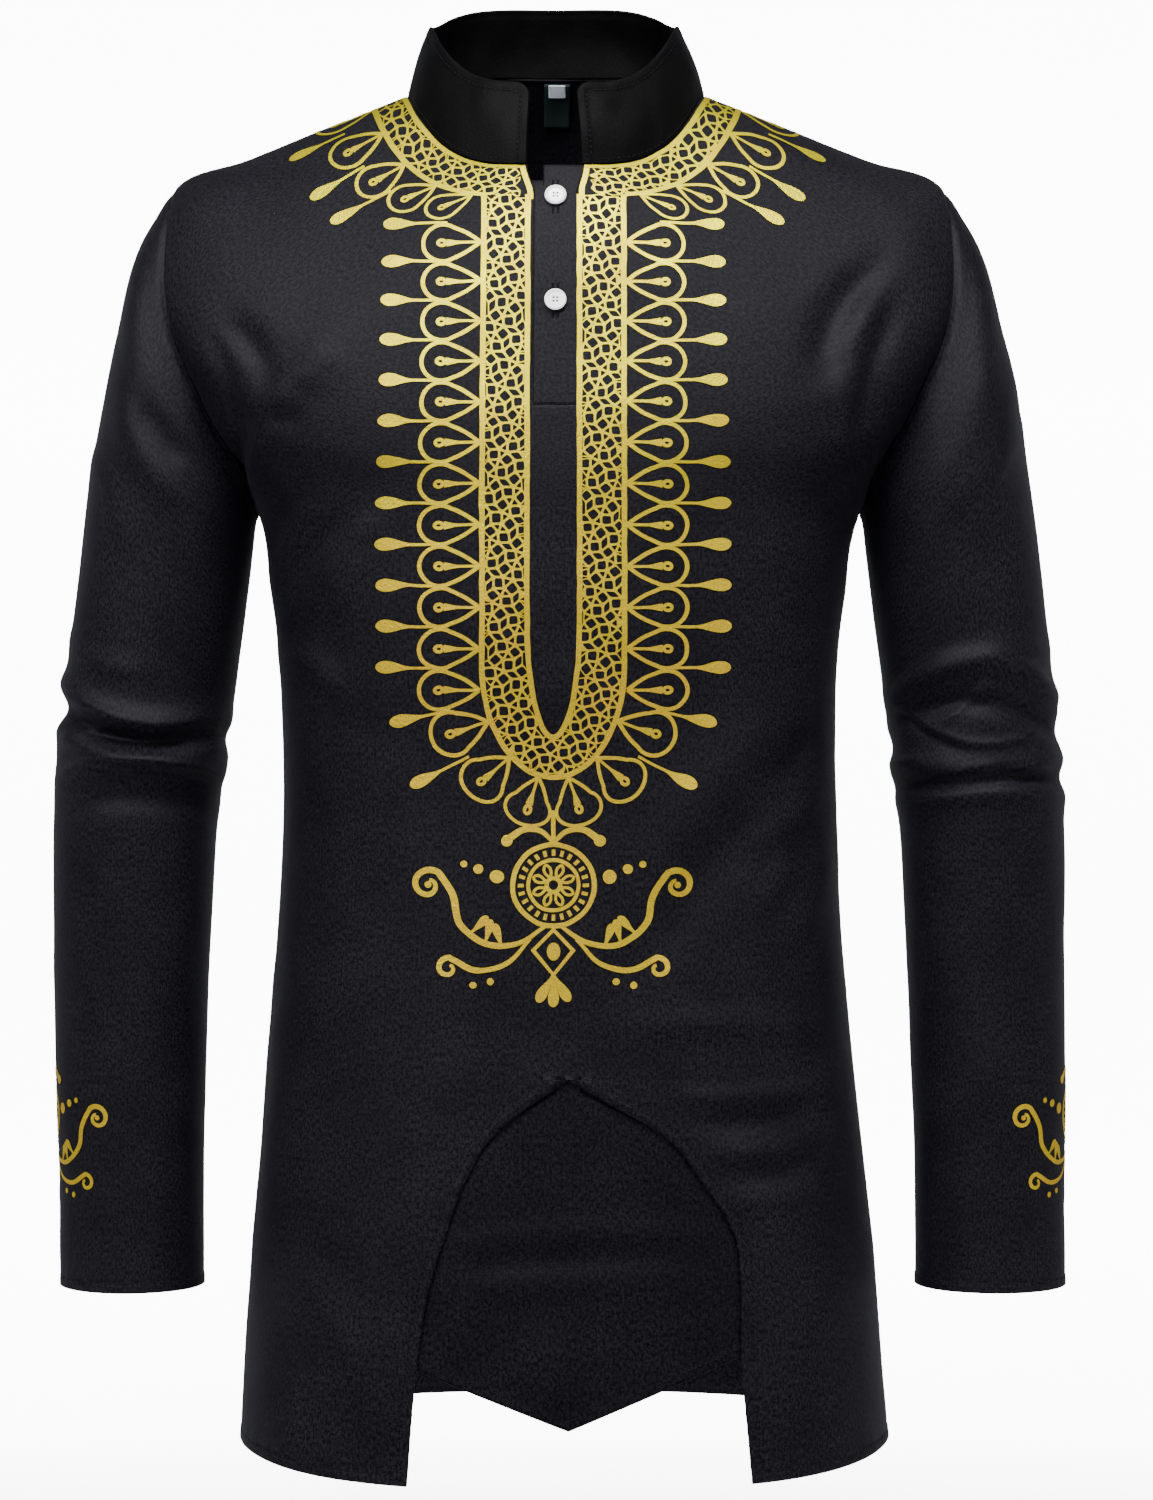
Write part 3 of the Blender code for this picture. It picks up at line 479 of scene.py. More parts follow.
RIGHT_CREASES = {
    "above elbow": (272, -312, 226, -318, -6, 5, 2.0, -1),
    "elbow ridge one": (188, -340, 277, -347, -19, 2.6, 2.4, -1),
    "elbow branch": (241, -325, 206, -353, 2, 2.6, 2.0, -1),
    "elbow ridge two": (187, -374, 203, -369, 0, 2.4, 1.8, -1),
    "elbow ridge three": (194, -384, 242, -374, 1, 2.6, 2.0, -1),
    "elbow ridge four": (251, -376, 271, -374, 0, 2.4, 1.8, -1),
    "elbow trough one": (190, -347, 222, -366, -2, 3, -2.4, -1),
    "elbow trough two": (192, -388, 275, -379, -1, 3.2, -2.8, -1),
    "upper drag": (262, -180, 226, -256, -5, 9, 2.2, -1),
    "fore drag": (262, -470, 236, -560, -3, 10, 1.6, -1),
    "back above elbow": (280, -306, 204, -334, -6, 7, 2.6, 1),
    "back elbow crease one": (284, -340, 200, -356, -4, 4, -2.8, 1),
    "back elbow crease two": (284, -362, 194, -372, -5, 4, 2.4, 1),
    "back elbow crease three": (284, -384, 198, -390, 3, 4, -2.6, 1),
}


def noise(points, size, seed):
    """Smooth value noise from -1 to 1 on a lattice of this size, the same each run."""
    p = points / size + seed * 17.31
    cell = np.floor(p).astype(np.int64)
    t = p - cell
    t = t * t * (3 - 2 * t)
    total = np.zeros(points.shape[:-1])
    for corner in range(8):
        step = np.array([corner & 1, corner >> 1 & 1, corner >> 2 & 1])
        at = cell + step
        key = at[..., 0] * 73856093 ^ at[..., 1] * 19349663 ^ at[..., 2] * 83492791
        key = (key ^ key >> 13) * 1274126177
        value = ((key ^ key >> 16) & 65535) / 32767.5 - 1
        weight = np.where(step, t, 1 - t).prod(axis=-1)
        total += value * weight
    return total


def body_cloth(station, phi, relief):
    """The body's cloth with its small folds, and the seams of the panel given."""
    points = torso_form(station, phi)
    normal = normals_of(torso_form, station, phi)
    lift = fold_height(TORSO_FOLDS, points, normal[..., 1])
    lift += fold_height(TORSO_CREASES, points, normal[..., 1])
    lift += 0.7 * noise(points, 62.0, 1) + 0.3 * noise(points, 24.0, 2)
    if relief is not None:
        lift = lift + relief(station, phi, points)
    return points + normal * lift[..., None]


def sleeve_cloth(side, station, psi):
    """A sleeve's cloth with its small folds, its seams and its hem."""
    folds, creases = (LEFT_FOLDS, LEFT_CREASES) if side < 0 else (RIGHT_FOLDS, RIGHT_CREASES)
    points = sleeve_form(side, station, psi)
    normal = normals_of(lambda a, b: sleeve_form(side, a, b), station, psi, -side)
    lift = fold_height(folds, points, normal[..., 1])
    lift += fold_height(creases, points, normal[..., 1], sharp=True)
    lift += 0.6 * noise(points, 55.0, 3) + 0.25 * noise(points, 22.0, 4)
    lift = lift * ramp(station, *SLEEVE_FOLDS_RAMP)
    lift = lift + hem_relief(SLEEVE_STATIONS[-1] - station, psi * 60)
    lift = lift - 0.7 * bell(station, SEAM_WIDTH) + 0.7 * bell(station - 5.5, 3.2)
    return points + normal * lift[..., None]


# Hems, seams and the turned edge of the arch
HEM_WIDTH = 5.0
HEM_RISE = 0.45
HEM_TILT = 0.93
SEAM_OVERLAP = 0.15
SEAM_WIDTH = 1.6
NECK_SEAM_WIDTH = 1.8
ARCH_DIP = 0.95
ARCH_FOOT = -762.0
# Millimetres of cloth for each radian round the body, a sleeve and the collar
BODY_ROUND = 165
SLEEVE_ROUND = 55
COLLAR_ROUND = 78


def hem_relief(distance, along):
    """A turned hem: a thicker band, the stitch line's groove and its puckers."""
    band = HEM_RISE * (1 - ramp(distance, HEM_WIDTH - 0.4, HEM_WIDTH + 1.4))
    groove = -0.35 * bell(distance - HEM_WIDTH, 0.9)
    wave = np.sin(along / 1.25 + 1.7 * np.sin(along / 9.0))
    return band + groove + 0.16 * wave * bell(distance - HEM_WIDTH, 4.5)


def arch_curve(side):
    z = np.linspace(ARCH_TOP, ARCH_FOOT, 160)
    return np.stack([arch_edge(z, side), z], axis=-1)


def distance_to(curve, x, z):
    """The least distance in the front view from each point to the curve's points."""
    flat = np.stack([x.ravel(), z.ravel()], axis=-1)
    least = np.full(len(flat), 1e9)
    for point in curve:
        least = np.minimum(least, np.hypot(flat[:, 0] - point[0], flat[:, 1] - point[1]))
    return least.reshape(x.shape)


def bell(distance, width):
    return np.exp(-((distance / width) ** 2))


def seam_groove(distance, along):
    wave = np.sin(along / 1.9 + 1.3 * np.sin(along / 11.0))
    pucker = 0.2 * wave * bell(distance, 6.0) * (1 - bell(distance, 1.5))
    return pucker - 0.5 * bell(distance, SEAM_WIDTH)


def edge_distance(station, turn, dip):
    """How far in from the side seam or the armhole, for a turn from the panel's middle."""
    return (armhole_phi(station, dip) - np.abs(turn)) * BODY_ROUND


def front_relief(station, phi, points):
    x, z = points[..., 0], points[..., 2]
    lift = seam_groove(edge_distance(station, phi, ARMHOLE_DIP_FRONT), station)
    lift = lift - 0.5 * bell(station, NECK_SEAM_WIDTH) + hem_relief(TORSO_STATIONS[-1] - station, x)
    near = z < ARCH_TOP + 25
    arch = np.concatenate([arch_curve(-1), arch_curve(1)])
    distance = np.full(x.shape, 99.0)
    distance[near] = distance_to(arch, x[near], z[near])
    wave = np.sin(z / 1.6 + 1.9 * np.sin(z / 13.0))
    lift = lift + hem_relief(distance, z) - ARCH_DIP * bell(distance, SEAM_WIDTH)
    return lift + 0.25 * wave * bell(distance - 3.0, 3.0)


def back_relief(station, phi, points):
    lift = seam_groove(edge_distance(station, phi - pi, ARMHOLE_DIP_BACK), station)
    lift = lift - 0.5 * bell(station, NECK_SEAM_WIDTH)
    return lift + hem_relief(TORSO_STATIONS[-1] - station, points[..., 0])


def insert_edge_z(x):
    """Height of the insert's V hem at this X."""
    side = np.where(x < ARCH_CENTRE, INSERT_SIDE_LEFT, INSERT_SIDE_RIGHT)
    reach = np.where(x < ARCH_CENTRE, INSERT_REACH_LEFT, INSERT_REACH_RIGHT)
    return INSERT_POINT + (side - INSERT_POINT) * np.abs(x - ARCH_CENTRE) / reach


def insert_relief(station, phi, points):
    x, z = points[..., 0], points[..., 2]
    return hem_relief((z - insert_edge_z(x)) * HEM_TILT, x)


def cell_corners(number):
    """Corner numbers of each cell of a grid, going round."""
    return np.stack([number[:-1, :-1], number[1:, :-1], number[1:, 1:], number[:-1, 1:]], axis=-1)


def make_shell(name, grids, thickness, material, replaced):
    """A closed cloth wall with rounded edges from grids of (outer, normals, kept, place)."""
    points = np.concatenate([grid[0].reshape(-1, 3) for grid in grids])
    normals = np.concatenate([grid[1].reshape(-1, 3) for grid in grids])
    _, first, index = np.unique(np.round(points, 3), axis=0, return_index=True, return_inverse=True)
    index = index.reshape(-1)
    faces, places, start = [], [], 0
    for outer, facing, kept, place in grids:
        rows, columns = outer.shape[:2]
        number = index[start : start + rows * columns].reshape(rows, columns)
        start += rows * columns
        corners = cell_corners(number).reshape(-1, 4)
        uv = cell_corners(np.arange(rows * columns).reshape(rows, columns)).reshape(-1, 4)
        uv = place.reshape(-1, 2)[uv]
        mid = (rows // 2, columns // 2)
        down = outer[mid] - outer[mid[0] - 1, mid[1]]
        across = outer[mid] - outer[mid[0], mid[1] - 1]
        if np.dot(np.cross(down, across), facing[mid]) < 0:
            corners, uv = corners[:, ::-1], uv[:, ::-1]
        if kept is not None:
            corners, uv = corners[kept.ravel()], uv[kept.ravel()]
        faces.append(corners)
        places.append(uv)
    faces, places = np.concatenate(faces), np.concatenate(places)
    outer, normals = points[first], normals[first]
    used = np.unique(faces)
    renumber = np.full(len(outer), -1)
    renumber[used] = np.arange(len(used))
    outer, normals, faces = outer[used], normals[used], renumber[faces]
    count = len(outer)
    inner = outer - thickness * normals

    edges = np.stack([faces, np.roll(faces, -1, axis=1)], axis=-1).reshape(-1, 2)
    corner_place = np.stack([places, np.roll(places, -1, axis=1)], axis=2).reshape(-1, 2, 2)
    code = edges[:, 0] * count + edges[:, 1]
    back = edges[:, 1] * count + edges[:, 0]
    open_edge = ~np.isin(code, back)
    edges, corner_place = edges[open_edge], corner_place[open_edge]
    outward = np.cross(outer[edges[:, 1]] - outer[edges[:, 0]], normals[edges[:, 0]])
    push = np.zeros_like(outer)
    np.add.at(push, edges[:, 0], outward)
    np.add.at(push, edges[:, 1], outward)
    length = np.linalg.norm(push, axis=1, keepdims=True)
    push = push / np.where(length > 0, length, 1)
    rim = np.unique(edges)
    rim_number = np.full(count, -1)
    rim_number[rim] = 2 * count + np.arange(len(rim))
    middle = (outer[rim] + inner[rim]) / 2 + 0.3 * thickness * push[rim]
    a, b = edges[:, 0], edges[:, 1]
    band_1 = np.stack([b, a, rim_number[a], rim_number[b]], axis=1)
    band_2 = np.stack([rim_number[b], rim_number[a], a + count, b + count], axis=1)
    rim_place = corner_place[:, [1, 0, 0, 1]]
    all_faces = np.concatenate([faces, faces[:, ::-1] + count, band_1, band_2])
    all_places = np.concatenate([places, places[:, ::-1], rim_place, rim_place])
    vertices = np.concatenate([outer, inner, middle]) * MM

    mesh = bpy.data.meshes.new(name)
    mesh.from_pydata(vertices.tolist(), [], all_faces.tolist())
    layer = mesh.uv_layers.new(name="cloth")
    layer.data.foreach_set("uv", (all_places.reshape(-1, 2) * MM).astype(np.float32).ravel())
    mesh.validate()
    mesh.shade_smooth()
    return add_piece(name, mesh, material, replaced)


def add_piece(name, mesh, material, replaced=()):
    piece = bpy.data.objects.new(name, mesh)
    bpy.context.scene.collection.objects.link(piece)
    mesh.materials.append(material)
    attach(piece, "root")
    if replaced:
        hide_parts(*replaced)
    return piece


def rows_every(first, last, step):
    return np.linspace(first, last, int(np.ceil((last - first) / step)) + 1)


def body_grid(station, phi, relief, outset=0.0):
    points = body_cloth(station, phi, relief)
    normals = normals_of(torso, station, phi)
    place = np.stack([phi * BODY_ROUND, station], axis=-1)
    return points + outset * normals, normals, place


# Rows of the cloth's grids
STEP = 2.9
ELBOW_STEP = 1.3
LEAST_STEP = 0.35
EDGE_FINE = np.array([0.0, 0.5, 1.0, 1.8, 2.8, 4.0, 5.0, 6.0])


def body_shell(
    name, station, phi, relief, material, replaced, outset=0.0, thickness=CLOTH, slot="cloth"
):
    """A piece that is one grid on the body."""
    points, normals, place = body_grid(station, phi, relief, outset)
    return make_shell(name, [(points, normals, None, place)], thickness, material, [replaced])


def finer_at_ends(values, low=True, high=True):
    """The values with more of them near the ends, where hems and seams are."""
    parts = [values]
    if low:
        parts.append(values[0] + EDGE_FINE)
    if high:
        parts.append(values[-1] - EDGE_FINE)
    joined = np.sort(np.concatenate(parts))
    spaced = [joined[0]]
    for value in joined[1:-1]:
        if min(value - spaced[-1], joined[-1] - value) > LEAST_STEP:
            spaced.append(value)
    return np.array(spaced + [joined[-1]])


def finer_shares(count, ease):
    """Shares from 0 to 1, closer together near both ends."""
    t = np.linspace(0, 1, count)
    return t - ease * np.sin(2 * pi * t) / (2 * pi)


def make_front(material):
    slit_end = float(station_of_front(SLIT_BOTTOM))
    upper = np.concatenate([
        rows_every(0, slit_end, STEP)[:-1], rows_every(slit_end, TORSO_AT["arch_top"], STEP)
    ])
    upper = np.unique(np.concatenate([EDGE_FINE, upper[upper > 6.5]]))
    lower = rows_every(TORSO_AT["arch_top"], TORSO_AT["hem"], STEP)
    near_point = lower[0] + np.array([0.25, 0.6, 1.1, 1.7, 2.3])
    lower = np.sort(np.append(finer_at_ends(lower, low=False), near_point))
    share = finer_shares(66, 0.55)
    middle_share = np.linspace(0, 1, 6)[:-1]
    grids = []

    edge = armhole_phi(upper, ARMHOLE_DIP_FRONT) + SEAM_OVERLAP / TORSO_VALUES["left"][0]
    half = slit_half(front_z_at(upper))
    centre = phi_at(upper, np.zeros_like(half))[:, None]
    halves = {}
    for side in (-1, 1):
        inner = phi_at(upper, side * half)[:, None]
        phi = inner + share[None, :] * (side * pi / 2 - inner)
        phi = phi - side * (pi / 2 - edge)[:, None] * armhole_share(share)[None, :]
        inside = centre + (inner - centre) * middle_share[None, :]
        halves[side] = np.concatenate([inside, phi], axis=1)
    phi = np.concatenate([halves[-1][:, :0:-1], halves[1]], axis=1)
    station = np.broadcast_to(upper[:, None], phi.shape)
    points, normals, place = body_grid(station, phi, front_relief)
    kept = np.ones((len(upper) - 1, phi.shape[1] - 1), bool)
    middle = phi.shape[1] // 2
    cells = len(middle_share)
    open_rows = upper[:-1] < slit_end - 1e-6
    kept[open_rows, middle - cells : middle + cells] = False
    grids.append((points, normals, kept, place))

    top_row = phi[-1]
    for side in (-1, 1):
        columns = top_row[middle::-1] if side < 0 else top_row[middle:]
        shares = (columns - columns[0]) / (columns[-1] - columns[0])
        seam = side * (pi / 2 + SEAM_OVERLAP / TORSO_VALUES["left"][-1])
        inner = phi_at(lower, arch_edge(front_z_at(lower), side))
        inner[0] = columns[0]
        t = ramp(lower, lower[0], lower[0] + 90)[:, None]
        mixed = shares[None, :] * (1 - t) + finer_shares(len(shares), 0.5)[None, :] * t
        leg = inner[:, None] + mixed * (seam - inner)[:, None]
        leg[0] = columns
        station = np.broadcast_to(lower[:, None], leg.shape)
        points, normals, place = body_grid(station, leg, front_relief)
        grids.append((points, normals, None, place))
    return make_shell("front_cloth", grids, CLOTH, material, ["front"])


def make_insert(material):
    """The arch-shaped panel behind the front's cut edge, down to its V hem."""
    across = finer_shares(56, 0.5) * 2 - 1
    across = np.sort(np.append(across, 0.0))
    sides = np.where(across < 0, INSERT_SIDE_LEFT, INSERT_SIDE_RIGHT)
    bottom = INSERT_POINT + (sides - INSERT_POINT) * np.abs(across)
    down = finer_shares(70, 0.4) ** 1.1
    apex = ARCH_TOP + INSERT_APEX_RISE
    z = apex + (bottom[None, :] - apex) * down[:, None]
    z[0] = apex - 3.0 * np.abs(across)
    x = np.empty_like(z)
    for side in (-1, 1):
        part = across * side >= 0
        drop = z[:, part] + INSERT_APEX_RISE * (1 - ramp(apex - z[:, part], 0, 60.0))
        edge = arch_edge(np.minimum(drop, ARCH_TOP), side) - ARCH_CENTRE
        reach = edge + side * INSERT_UNDERLAP * ramp(apex - z[:, part], -6.0, 12.0)
        x[:, part] = ARCH_CENTRE + reach * np.abs(across[part])
    return body_shell(
        "insert_cloth", *on_front(x, z), insert_relief, material, "front_insert", -INSERT_DEPTH
    )


def make_back(material):
    station = finer_at_ends(rows_every(0, TORSO_AT["hem"], STEP))[:, None]
    edge = pi - armhole_phi(station, ARMHOLE_DIP_BACK) - SEAM_OVERLAP / TORSO_VALUES["left"][0]
    share = (finer_shares(150, 0.3) * 2 - 1)[None, :]
    phi = pi + share * pi / 2 - np.sign(share) * (edge - pi / 2) * armhole_share(share)
    station = np.broadcast_to(station, phi.shape)
    return body_shell("back_cloth", station, phi, back_relief, material, "back")


def make_sleeve(name, side, material):
    first, last = SLEEVE_STATIONS[4] + 38.0, SLEEVE_STATIONS[6] + 6.0
    above, below = rows_every(-0.9, first, STEP), rows_every(last, SLEEVE_STATIONS[-1], STEP)
    elbow = rows_every(first, last, ELBOW_STEP)
    station = finer_at_ends(np.concatenate([above[:-1], elbow, below[1:]]))[:, None]
    psi = np.linspace(0, 2 * pi, 121)[None, :]
    points = sleeve_cloth(side, station, psi)
    normals = normals_of(lambda a, b: sleeve(side, a, b), station, psi, -side)
    seam_station, seam_phi = armhole_place(side, psi[0])
    blend = ramp(station, 0, 9)[..., None]
    first = normals_of(torso, seam_station, seam_phi)[None]
    normals = unit(normals * blend + first * (1 - blend))
    points[:, -1], normals[:, -1] = points[:, 0], normals[:, 0]
    place = np.stack(np.broadcast_arrays(psi * SLEEVE_ROUND, station), axis=-1)
    return make_shell(
        name + "_cloth", [(points, normals, None, place)], CLOTH, material, [name]
    )


def collar(height, phi):
    """The collar's outer side; height runs from 0 at the seam to 1 at the top edge."""
    foot = level_ring(dict(zip(TORSO_COLUMNS, TORSO["neck"])), phi)
    foot = foot + np.array([0.0, 0.0, COLLAR_LIFT])
    top = level_ring(dict(zip(TORSO_COLUMNS, COLLAR_TOP)), phi)
    height = np.asarray(height)[..., None]
    bow = COLLAR_BOW * np.sin(pi * height)
    outward = np.stack([np.sin(phi), -np.cos(phi), 0 * phi], axis=-1)
    return foot + (top - foot) * height + outward * bow


# Angles of the collar's two front edges
COLLAR_START = np.arcsin(COLLAR_OPENING_RIGHT / TORSO["neck"][1])
COLLAR_END = 2 * pi - np.arcsin(COLLAR_OPENING_LEFT / TORSO["neck"][0])


def collar_normals(height, phi):
    return normals_of(lambda a, b: collar(a / COLLAR_HEIGHT, b), height * COLLAR_HEIGHT, phi, -1.0)


def collar_relieved(height, phi, normals):
    """The collar's outer side with its turned edge and its small wrinkles."""
    points = collar(height, phi)
    from_edge = np.minimum(phi - COLLAR_START, COLLAR_END - phi) * COLLAR_ROUND
    to_edge = np.minimum(from_edge, (1 - height) * COLLAR_HEIGHT)
    lift = 0.8 * hem_relief(to_edge, phi * 70)
    lift += 0.5 * noise(points * np.array([1.0, 1.0, 0.6]), 9.0, 7)
    lift += 1.0 * noise(points, 24.0, 8)
    return points + normals * lift[..., None]


def make_collar(material):
    corner = COLLAR_CORNER / COLLAR_ROUND * (1 - np.cos(np.linspace(0, pi / 2, 14)))
    between = np.linspace(COLLAR_START + corner[-1], COLLAR_END - corner[-1], 150)
    phi = np.concatenate([COLLAR_START + corner[:-1], between, (COLLAR_END - corner[:-1])[::-1]])
    from_edge = np.minimum(phi - phi[0], phi[-1] - phi) * COLLAR_ROUND
    inside = np.clip(1 - from_edge / COLLAR_CORNER, 0, 1)
    cut = COLLAR_CORNER * (1 - np.sqrt(np.maximum(1 - inside**2, 0))) / COLLAR_HEIGHT
    share = finer_shares(24, 0.5)[:, None]
    height = share * (1.02 - 0.8 * cut[None, :]) - 0.02
    phi = np.broadcast_to(phi[None, :], height.shape)
    points = collar(height, phi)
    normals = collar_normals(height, phi)
    points = collar_relieved(height, phi, normals)
    place = np.stack([phi * 75, height * COLLAR_HEIGHT], axis=-1)
    grids = [(points, unit(normals * np.array([1.0, 1.0, 0.0])), None, place)]
    return make_shell("collar_cloth", grids, COLLAR_CLOTH, material, ["collar"])


def make_strip(name, left, right, top_z, bottom_z, outset, material):
    z = rows_every(-top_z, -bottom_z, 1.6) * -1
    if name == "placket_over":
        z = np.sort(np.append(z, [STRIP_NOTCH_END, STRIP_NOTCH_END + 0.6]))[::-1]
    share = finer_shares(18, 0.4)[None, :]
    x = left(z)[:, None] + (right(z) - left(z))[:, None] * share
    station = np.broadcast_to(station_of_front(z)[:, None], x.shape)
    phi = phi_at(station, x)
    return body_shell(name + "_cloth", station, phi, None, material, name, outset)


def make_plackets(material):
    def over_left(z):
        return np.where(z > STRIP_NOTCH_END + 0.5, STRIP_LEFT_TOP, SEAM_GAP - SLIT_HALF)

    def over_right(z):
        return slit_half(z) - SEAM_GAP

    top = front_z_at(0.0)
    over = make_strip(
        "placket_over", over_left, over_right, top - 1.0, SLIT_BOTTOM + SEAM_GAP, 0.0, material
    )
    under = make_strip(
        "placket_under",
        lambda z: 0 * z - UNDER_STRIP_HALF,
        lambda z: 0 * z + UNDER_STRIP_HALF,
        top - UNDER_STRIP_DROP,
        SLIT_BOTTOM - 4.0,
        -UNDER_LAYER,
        material,
    )
    return over, under


def make_label(name, half, top, length, depth, material, slot, replaced):
    down, across = np.linspace(top, top + length, 20), np.linspace(half, -half, 14)
    station, x = np.meshgrid(down, across, indexing="ij")
    phi = pi - phi_at(station, x)
    return body_shell(name, station, phi, None, material, replaced, -depth, LABEL_CLOTH, slot)


CLOTH_DARK = (0.0010, 0.0008, 0.0016)
CLOTH_LIGHT = (0.0094, 0.0086, 0.0130)


class Looks:
    """A material with its shader, and the nodes that feed it."""

    def __init__(self, name, **shader_values):
        self.material = bpy.data.materials.new(name)
        self.material.use_nodes = True
        self.tree = self.material.node_tree
        self.shader = self.tree.nodes["Principled BSDF"]
        for socket, value in shader_values.items():
            self.shader.inputs[socket.replace("_", " ")].default_value = value

    def give(self, socket, value):
        if isinstance(value, bpy.types.NodeSocket):
            self.tree.links.new(value, socket)
        else:
            socket.default_value = value

    def feed(self, **sockets):
        for name, value in sockets.items():
            self.tree.links.new(value, self.shader.inputs[name.replace("_", " ")])

    def node(self, kind, values, result, **settings):
        """The named result of a new node with these settings, and these values by socket."""
        node = self.tree.nodes.new("ShaderNode" + kind)
        for name, value in settings.items():
            setattr(node, name, value)
        for name, value in values.items():
            self.give(node.inputs[name], value)
        return node.outputs[result]

    def on_cloth(self):
        return self.node("UVMap", {}, "UV", uv_map="cloth")

    def on_object(self):
        return self.node("TexCoord", {}, "Object")

    def axis(self, vector, name):
        return self.node("SeparateXYZ", {"Vector": vector}, name)

    def noise(self, vector, scale, detail, rough):
        values = {"Scale": scale, "Detail": detail, "Roughness": rough, "Vector": vector}
        return self.node("TexNoise", values, "Fac")

    def spread(self, value, low, high, to_low=0.0, to_high=1.0):
        """The value's range from low to high, spread over another one."""
        values = {"From Min": low, "From Max": high, "To Min": to_low, "To Max": to_high}
        return self.node("MapRange", {**values, "Value": value}, "Result")

    def times(self, first, second):
        return self.node("Math", {0: first, 1: second}, "Value", operation="MULTIPLY")

    def mix(self, factor, *colours):
        """A colour between two, which are colours or sockets."""
        node = self.tree.nodes.new("ShaderNodeMix")
        node.data_type = "RGBA"
        self.give(node.inputs["Factor"], factor)
        for name, colour in zip(("A", "B"), colours):
            socket = [i for i in node.inputs if i.name == name and i.type == "RGBA"][0]
            self.give(socket, (*colour, 1.0) if isinstance(colour, tuple) else colour)
        return [o for o in node.outputs if o.type == "RGBA"][0]

    def weave(self, place, threads_per_metre):
        """Over and under threads from two crossed waves on the cloth's own coordinates."""
        values = {"Scale": threads_per_metre, "Distortion": 0.6, "Detail": 1.0, "Detail Scale": 0.3}
        values["Vector"] = place
        kind = {"wave_type": "BANDS"}
        waves = [self.node("TexWave", values, "Fac", bands_direction=way, **kind) for way in "XY"]
        return self.times(*waves)

    def bumps(self, *heights):
        """Bumps one on another, each from (height, distance in metres, strength)."""
        values = {}
        for height, distance, strength in heights:
            values.update({"Distance": distance, "Strength": strength, "Height": height})
            values["Normal"] = self.node("Bump", values, "Normal")
        self.feed(Normal=values["Normal"])
        return self.material


def cloth_material(name, share, specular):
    """Black cotton satin with a fine weave and a soft sheen; share scales its colour."""
    looks = Looks(
        name,
        Specular_IOR_Level=specular,
        Sheen_Weight=0.012,
        Sheen_Roughness=0.4,
        Sheen_Tint=(0.86, 0.86, 1.0, 1.0),
    )
    place = looks.on_cloth()
    stretched = looks.node("Mapping", {"Scale": (1.0, 0.6, 1.0), "Vector": place}, "Vector")
    slub = looks.noise(stretched, 700.0, 3.0, 0.75)
    cloud = looks.noise(place, 22.0, 4.0, 0.6)
    shade = looks.times(looks.spread(slub, 0.40, 0.61), looks.spread(cloud, 0.3, 0.7, 0.55, 1.0))
    dark, light = (tuple(share * c for c in colour) for colour in (CLOTH_DARK, CLOTH_LIGHT))
    rough = looks.spread(cloud, 0.3, 0.7, 0.50, 0.60)
    looks.feed(Base_Color=looks.mix(shade, dark, light), Roughness=rough)
    weave = looks.weave(place, 420.0)
    return looks.bumps((cloud, 0.0006, 0.5), (slub, 0.00024, 0.75), (weave, 0.00010, 0.6))


def thread_material(name, colour, specular):
    looks = Looks(name, Roughness=0.42, Specular_IOR_Level=specular)
    twist = looks.noise(looks.on_object(), 1400.0, 2.0, 0.6)
    looks.feed(Base_Color=looks.mix(twist, tuple(c * 0.6 for c in colour), colour))
    return looks.bumps((twist, 0.0001, 0.5))


def foil_material():
    """Gold foil pressed on cloth: paler above as painted light, duller below as painted shade, more
    specked below.
    """
    looks = Looks("gold foil")
    place = looks.on_object()
    patches = looks.noise(place, 38.0, 3.0, 0.6)
    speck = looks.noise(place, 900.0, 3.0, 0.75)
    low = looks.spread(looks.axis(place, "Z"), -0.16, -0.30)
    aged = looks.spread(patches, 0.35, 0.65)
    # Painted light by height: the upper colour stands in for the top light on the upper print; the
    # lower colour is painted shade on the lower print
    painted_lit_gold_top = looks.mix(aged, (0.62, 0.56, 0.002), (0.58, 0.46, 0.003))
    painted_shade_gold_low = looks.mix(aged, (0.98, 0.72, 0.030), (0.86, 0.56, 0.030))
    glitter = looks.spread(looks.noise(place, 1500.0, 2.0, 0.8), 0.35, 0.65)
    glitter = looks.times(glitter, looks.spread(low, 0.0, 1.0, 0.25, 0.5))
    gold = looks.mix(glitter, looks.mix(low, painted_lit_gold_top, painted_shade_gold_low), (0.34, 0.21, 0.02))
    worn = looks.times(looks.spread(low, 0.0, 1.0, 0.35, 1.0), aged)
    specks = looks.times(looks.times(looks.spread(speck, 0.53, 0.66), worn), 0.75)
    looks.feed(
        Base_Color=looks.mix(specks, gold, (0.05, 0.035, 0.012)),
        Metallic=looks.spread(specks, 0.0, 1.0, 0.9, 0.2),
        Roughness=looks.spread(patches, 0.3, 0.7, 0.42, 0.52),
    )
    crinkle = looks.noise(place, 700.0, 3.0, 0.7)
    return looks.bumps((patches, 0.0008, 0.4), (crinkle, 0.0004, 0.8), (speck, 0.00012, 0.7))


def button_material():
    looks = Looks("white button", Roughness=0.24, Coat_Weight=0.35, Coat_Roughness=0.12)
    swirl = looks.noise(looks.on_object(), 160.0, 4.0, 0.6)
    looks.feed(Base_Color=looks.mix(swirl, (0.86, 0.86, 0.91), (0.98, 0.98, 1.0)))
    return looks.bumps((swirl, 0.0001, 0.2))


def woven_material(name, dark, light):
    looks = Looks(name, Roughness=0.45)
    place = looks.on_cloth()
    weave = looks.weave(place, 700.0)
    mixed = looks.times(weave, looks.noise(place, 300.0, 2.0, 0.6))
    looks.feed(Base_Color=looks.mix(mixed, dark, light))
    return looks.bumps((weave, 0.00015, 0.8))


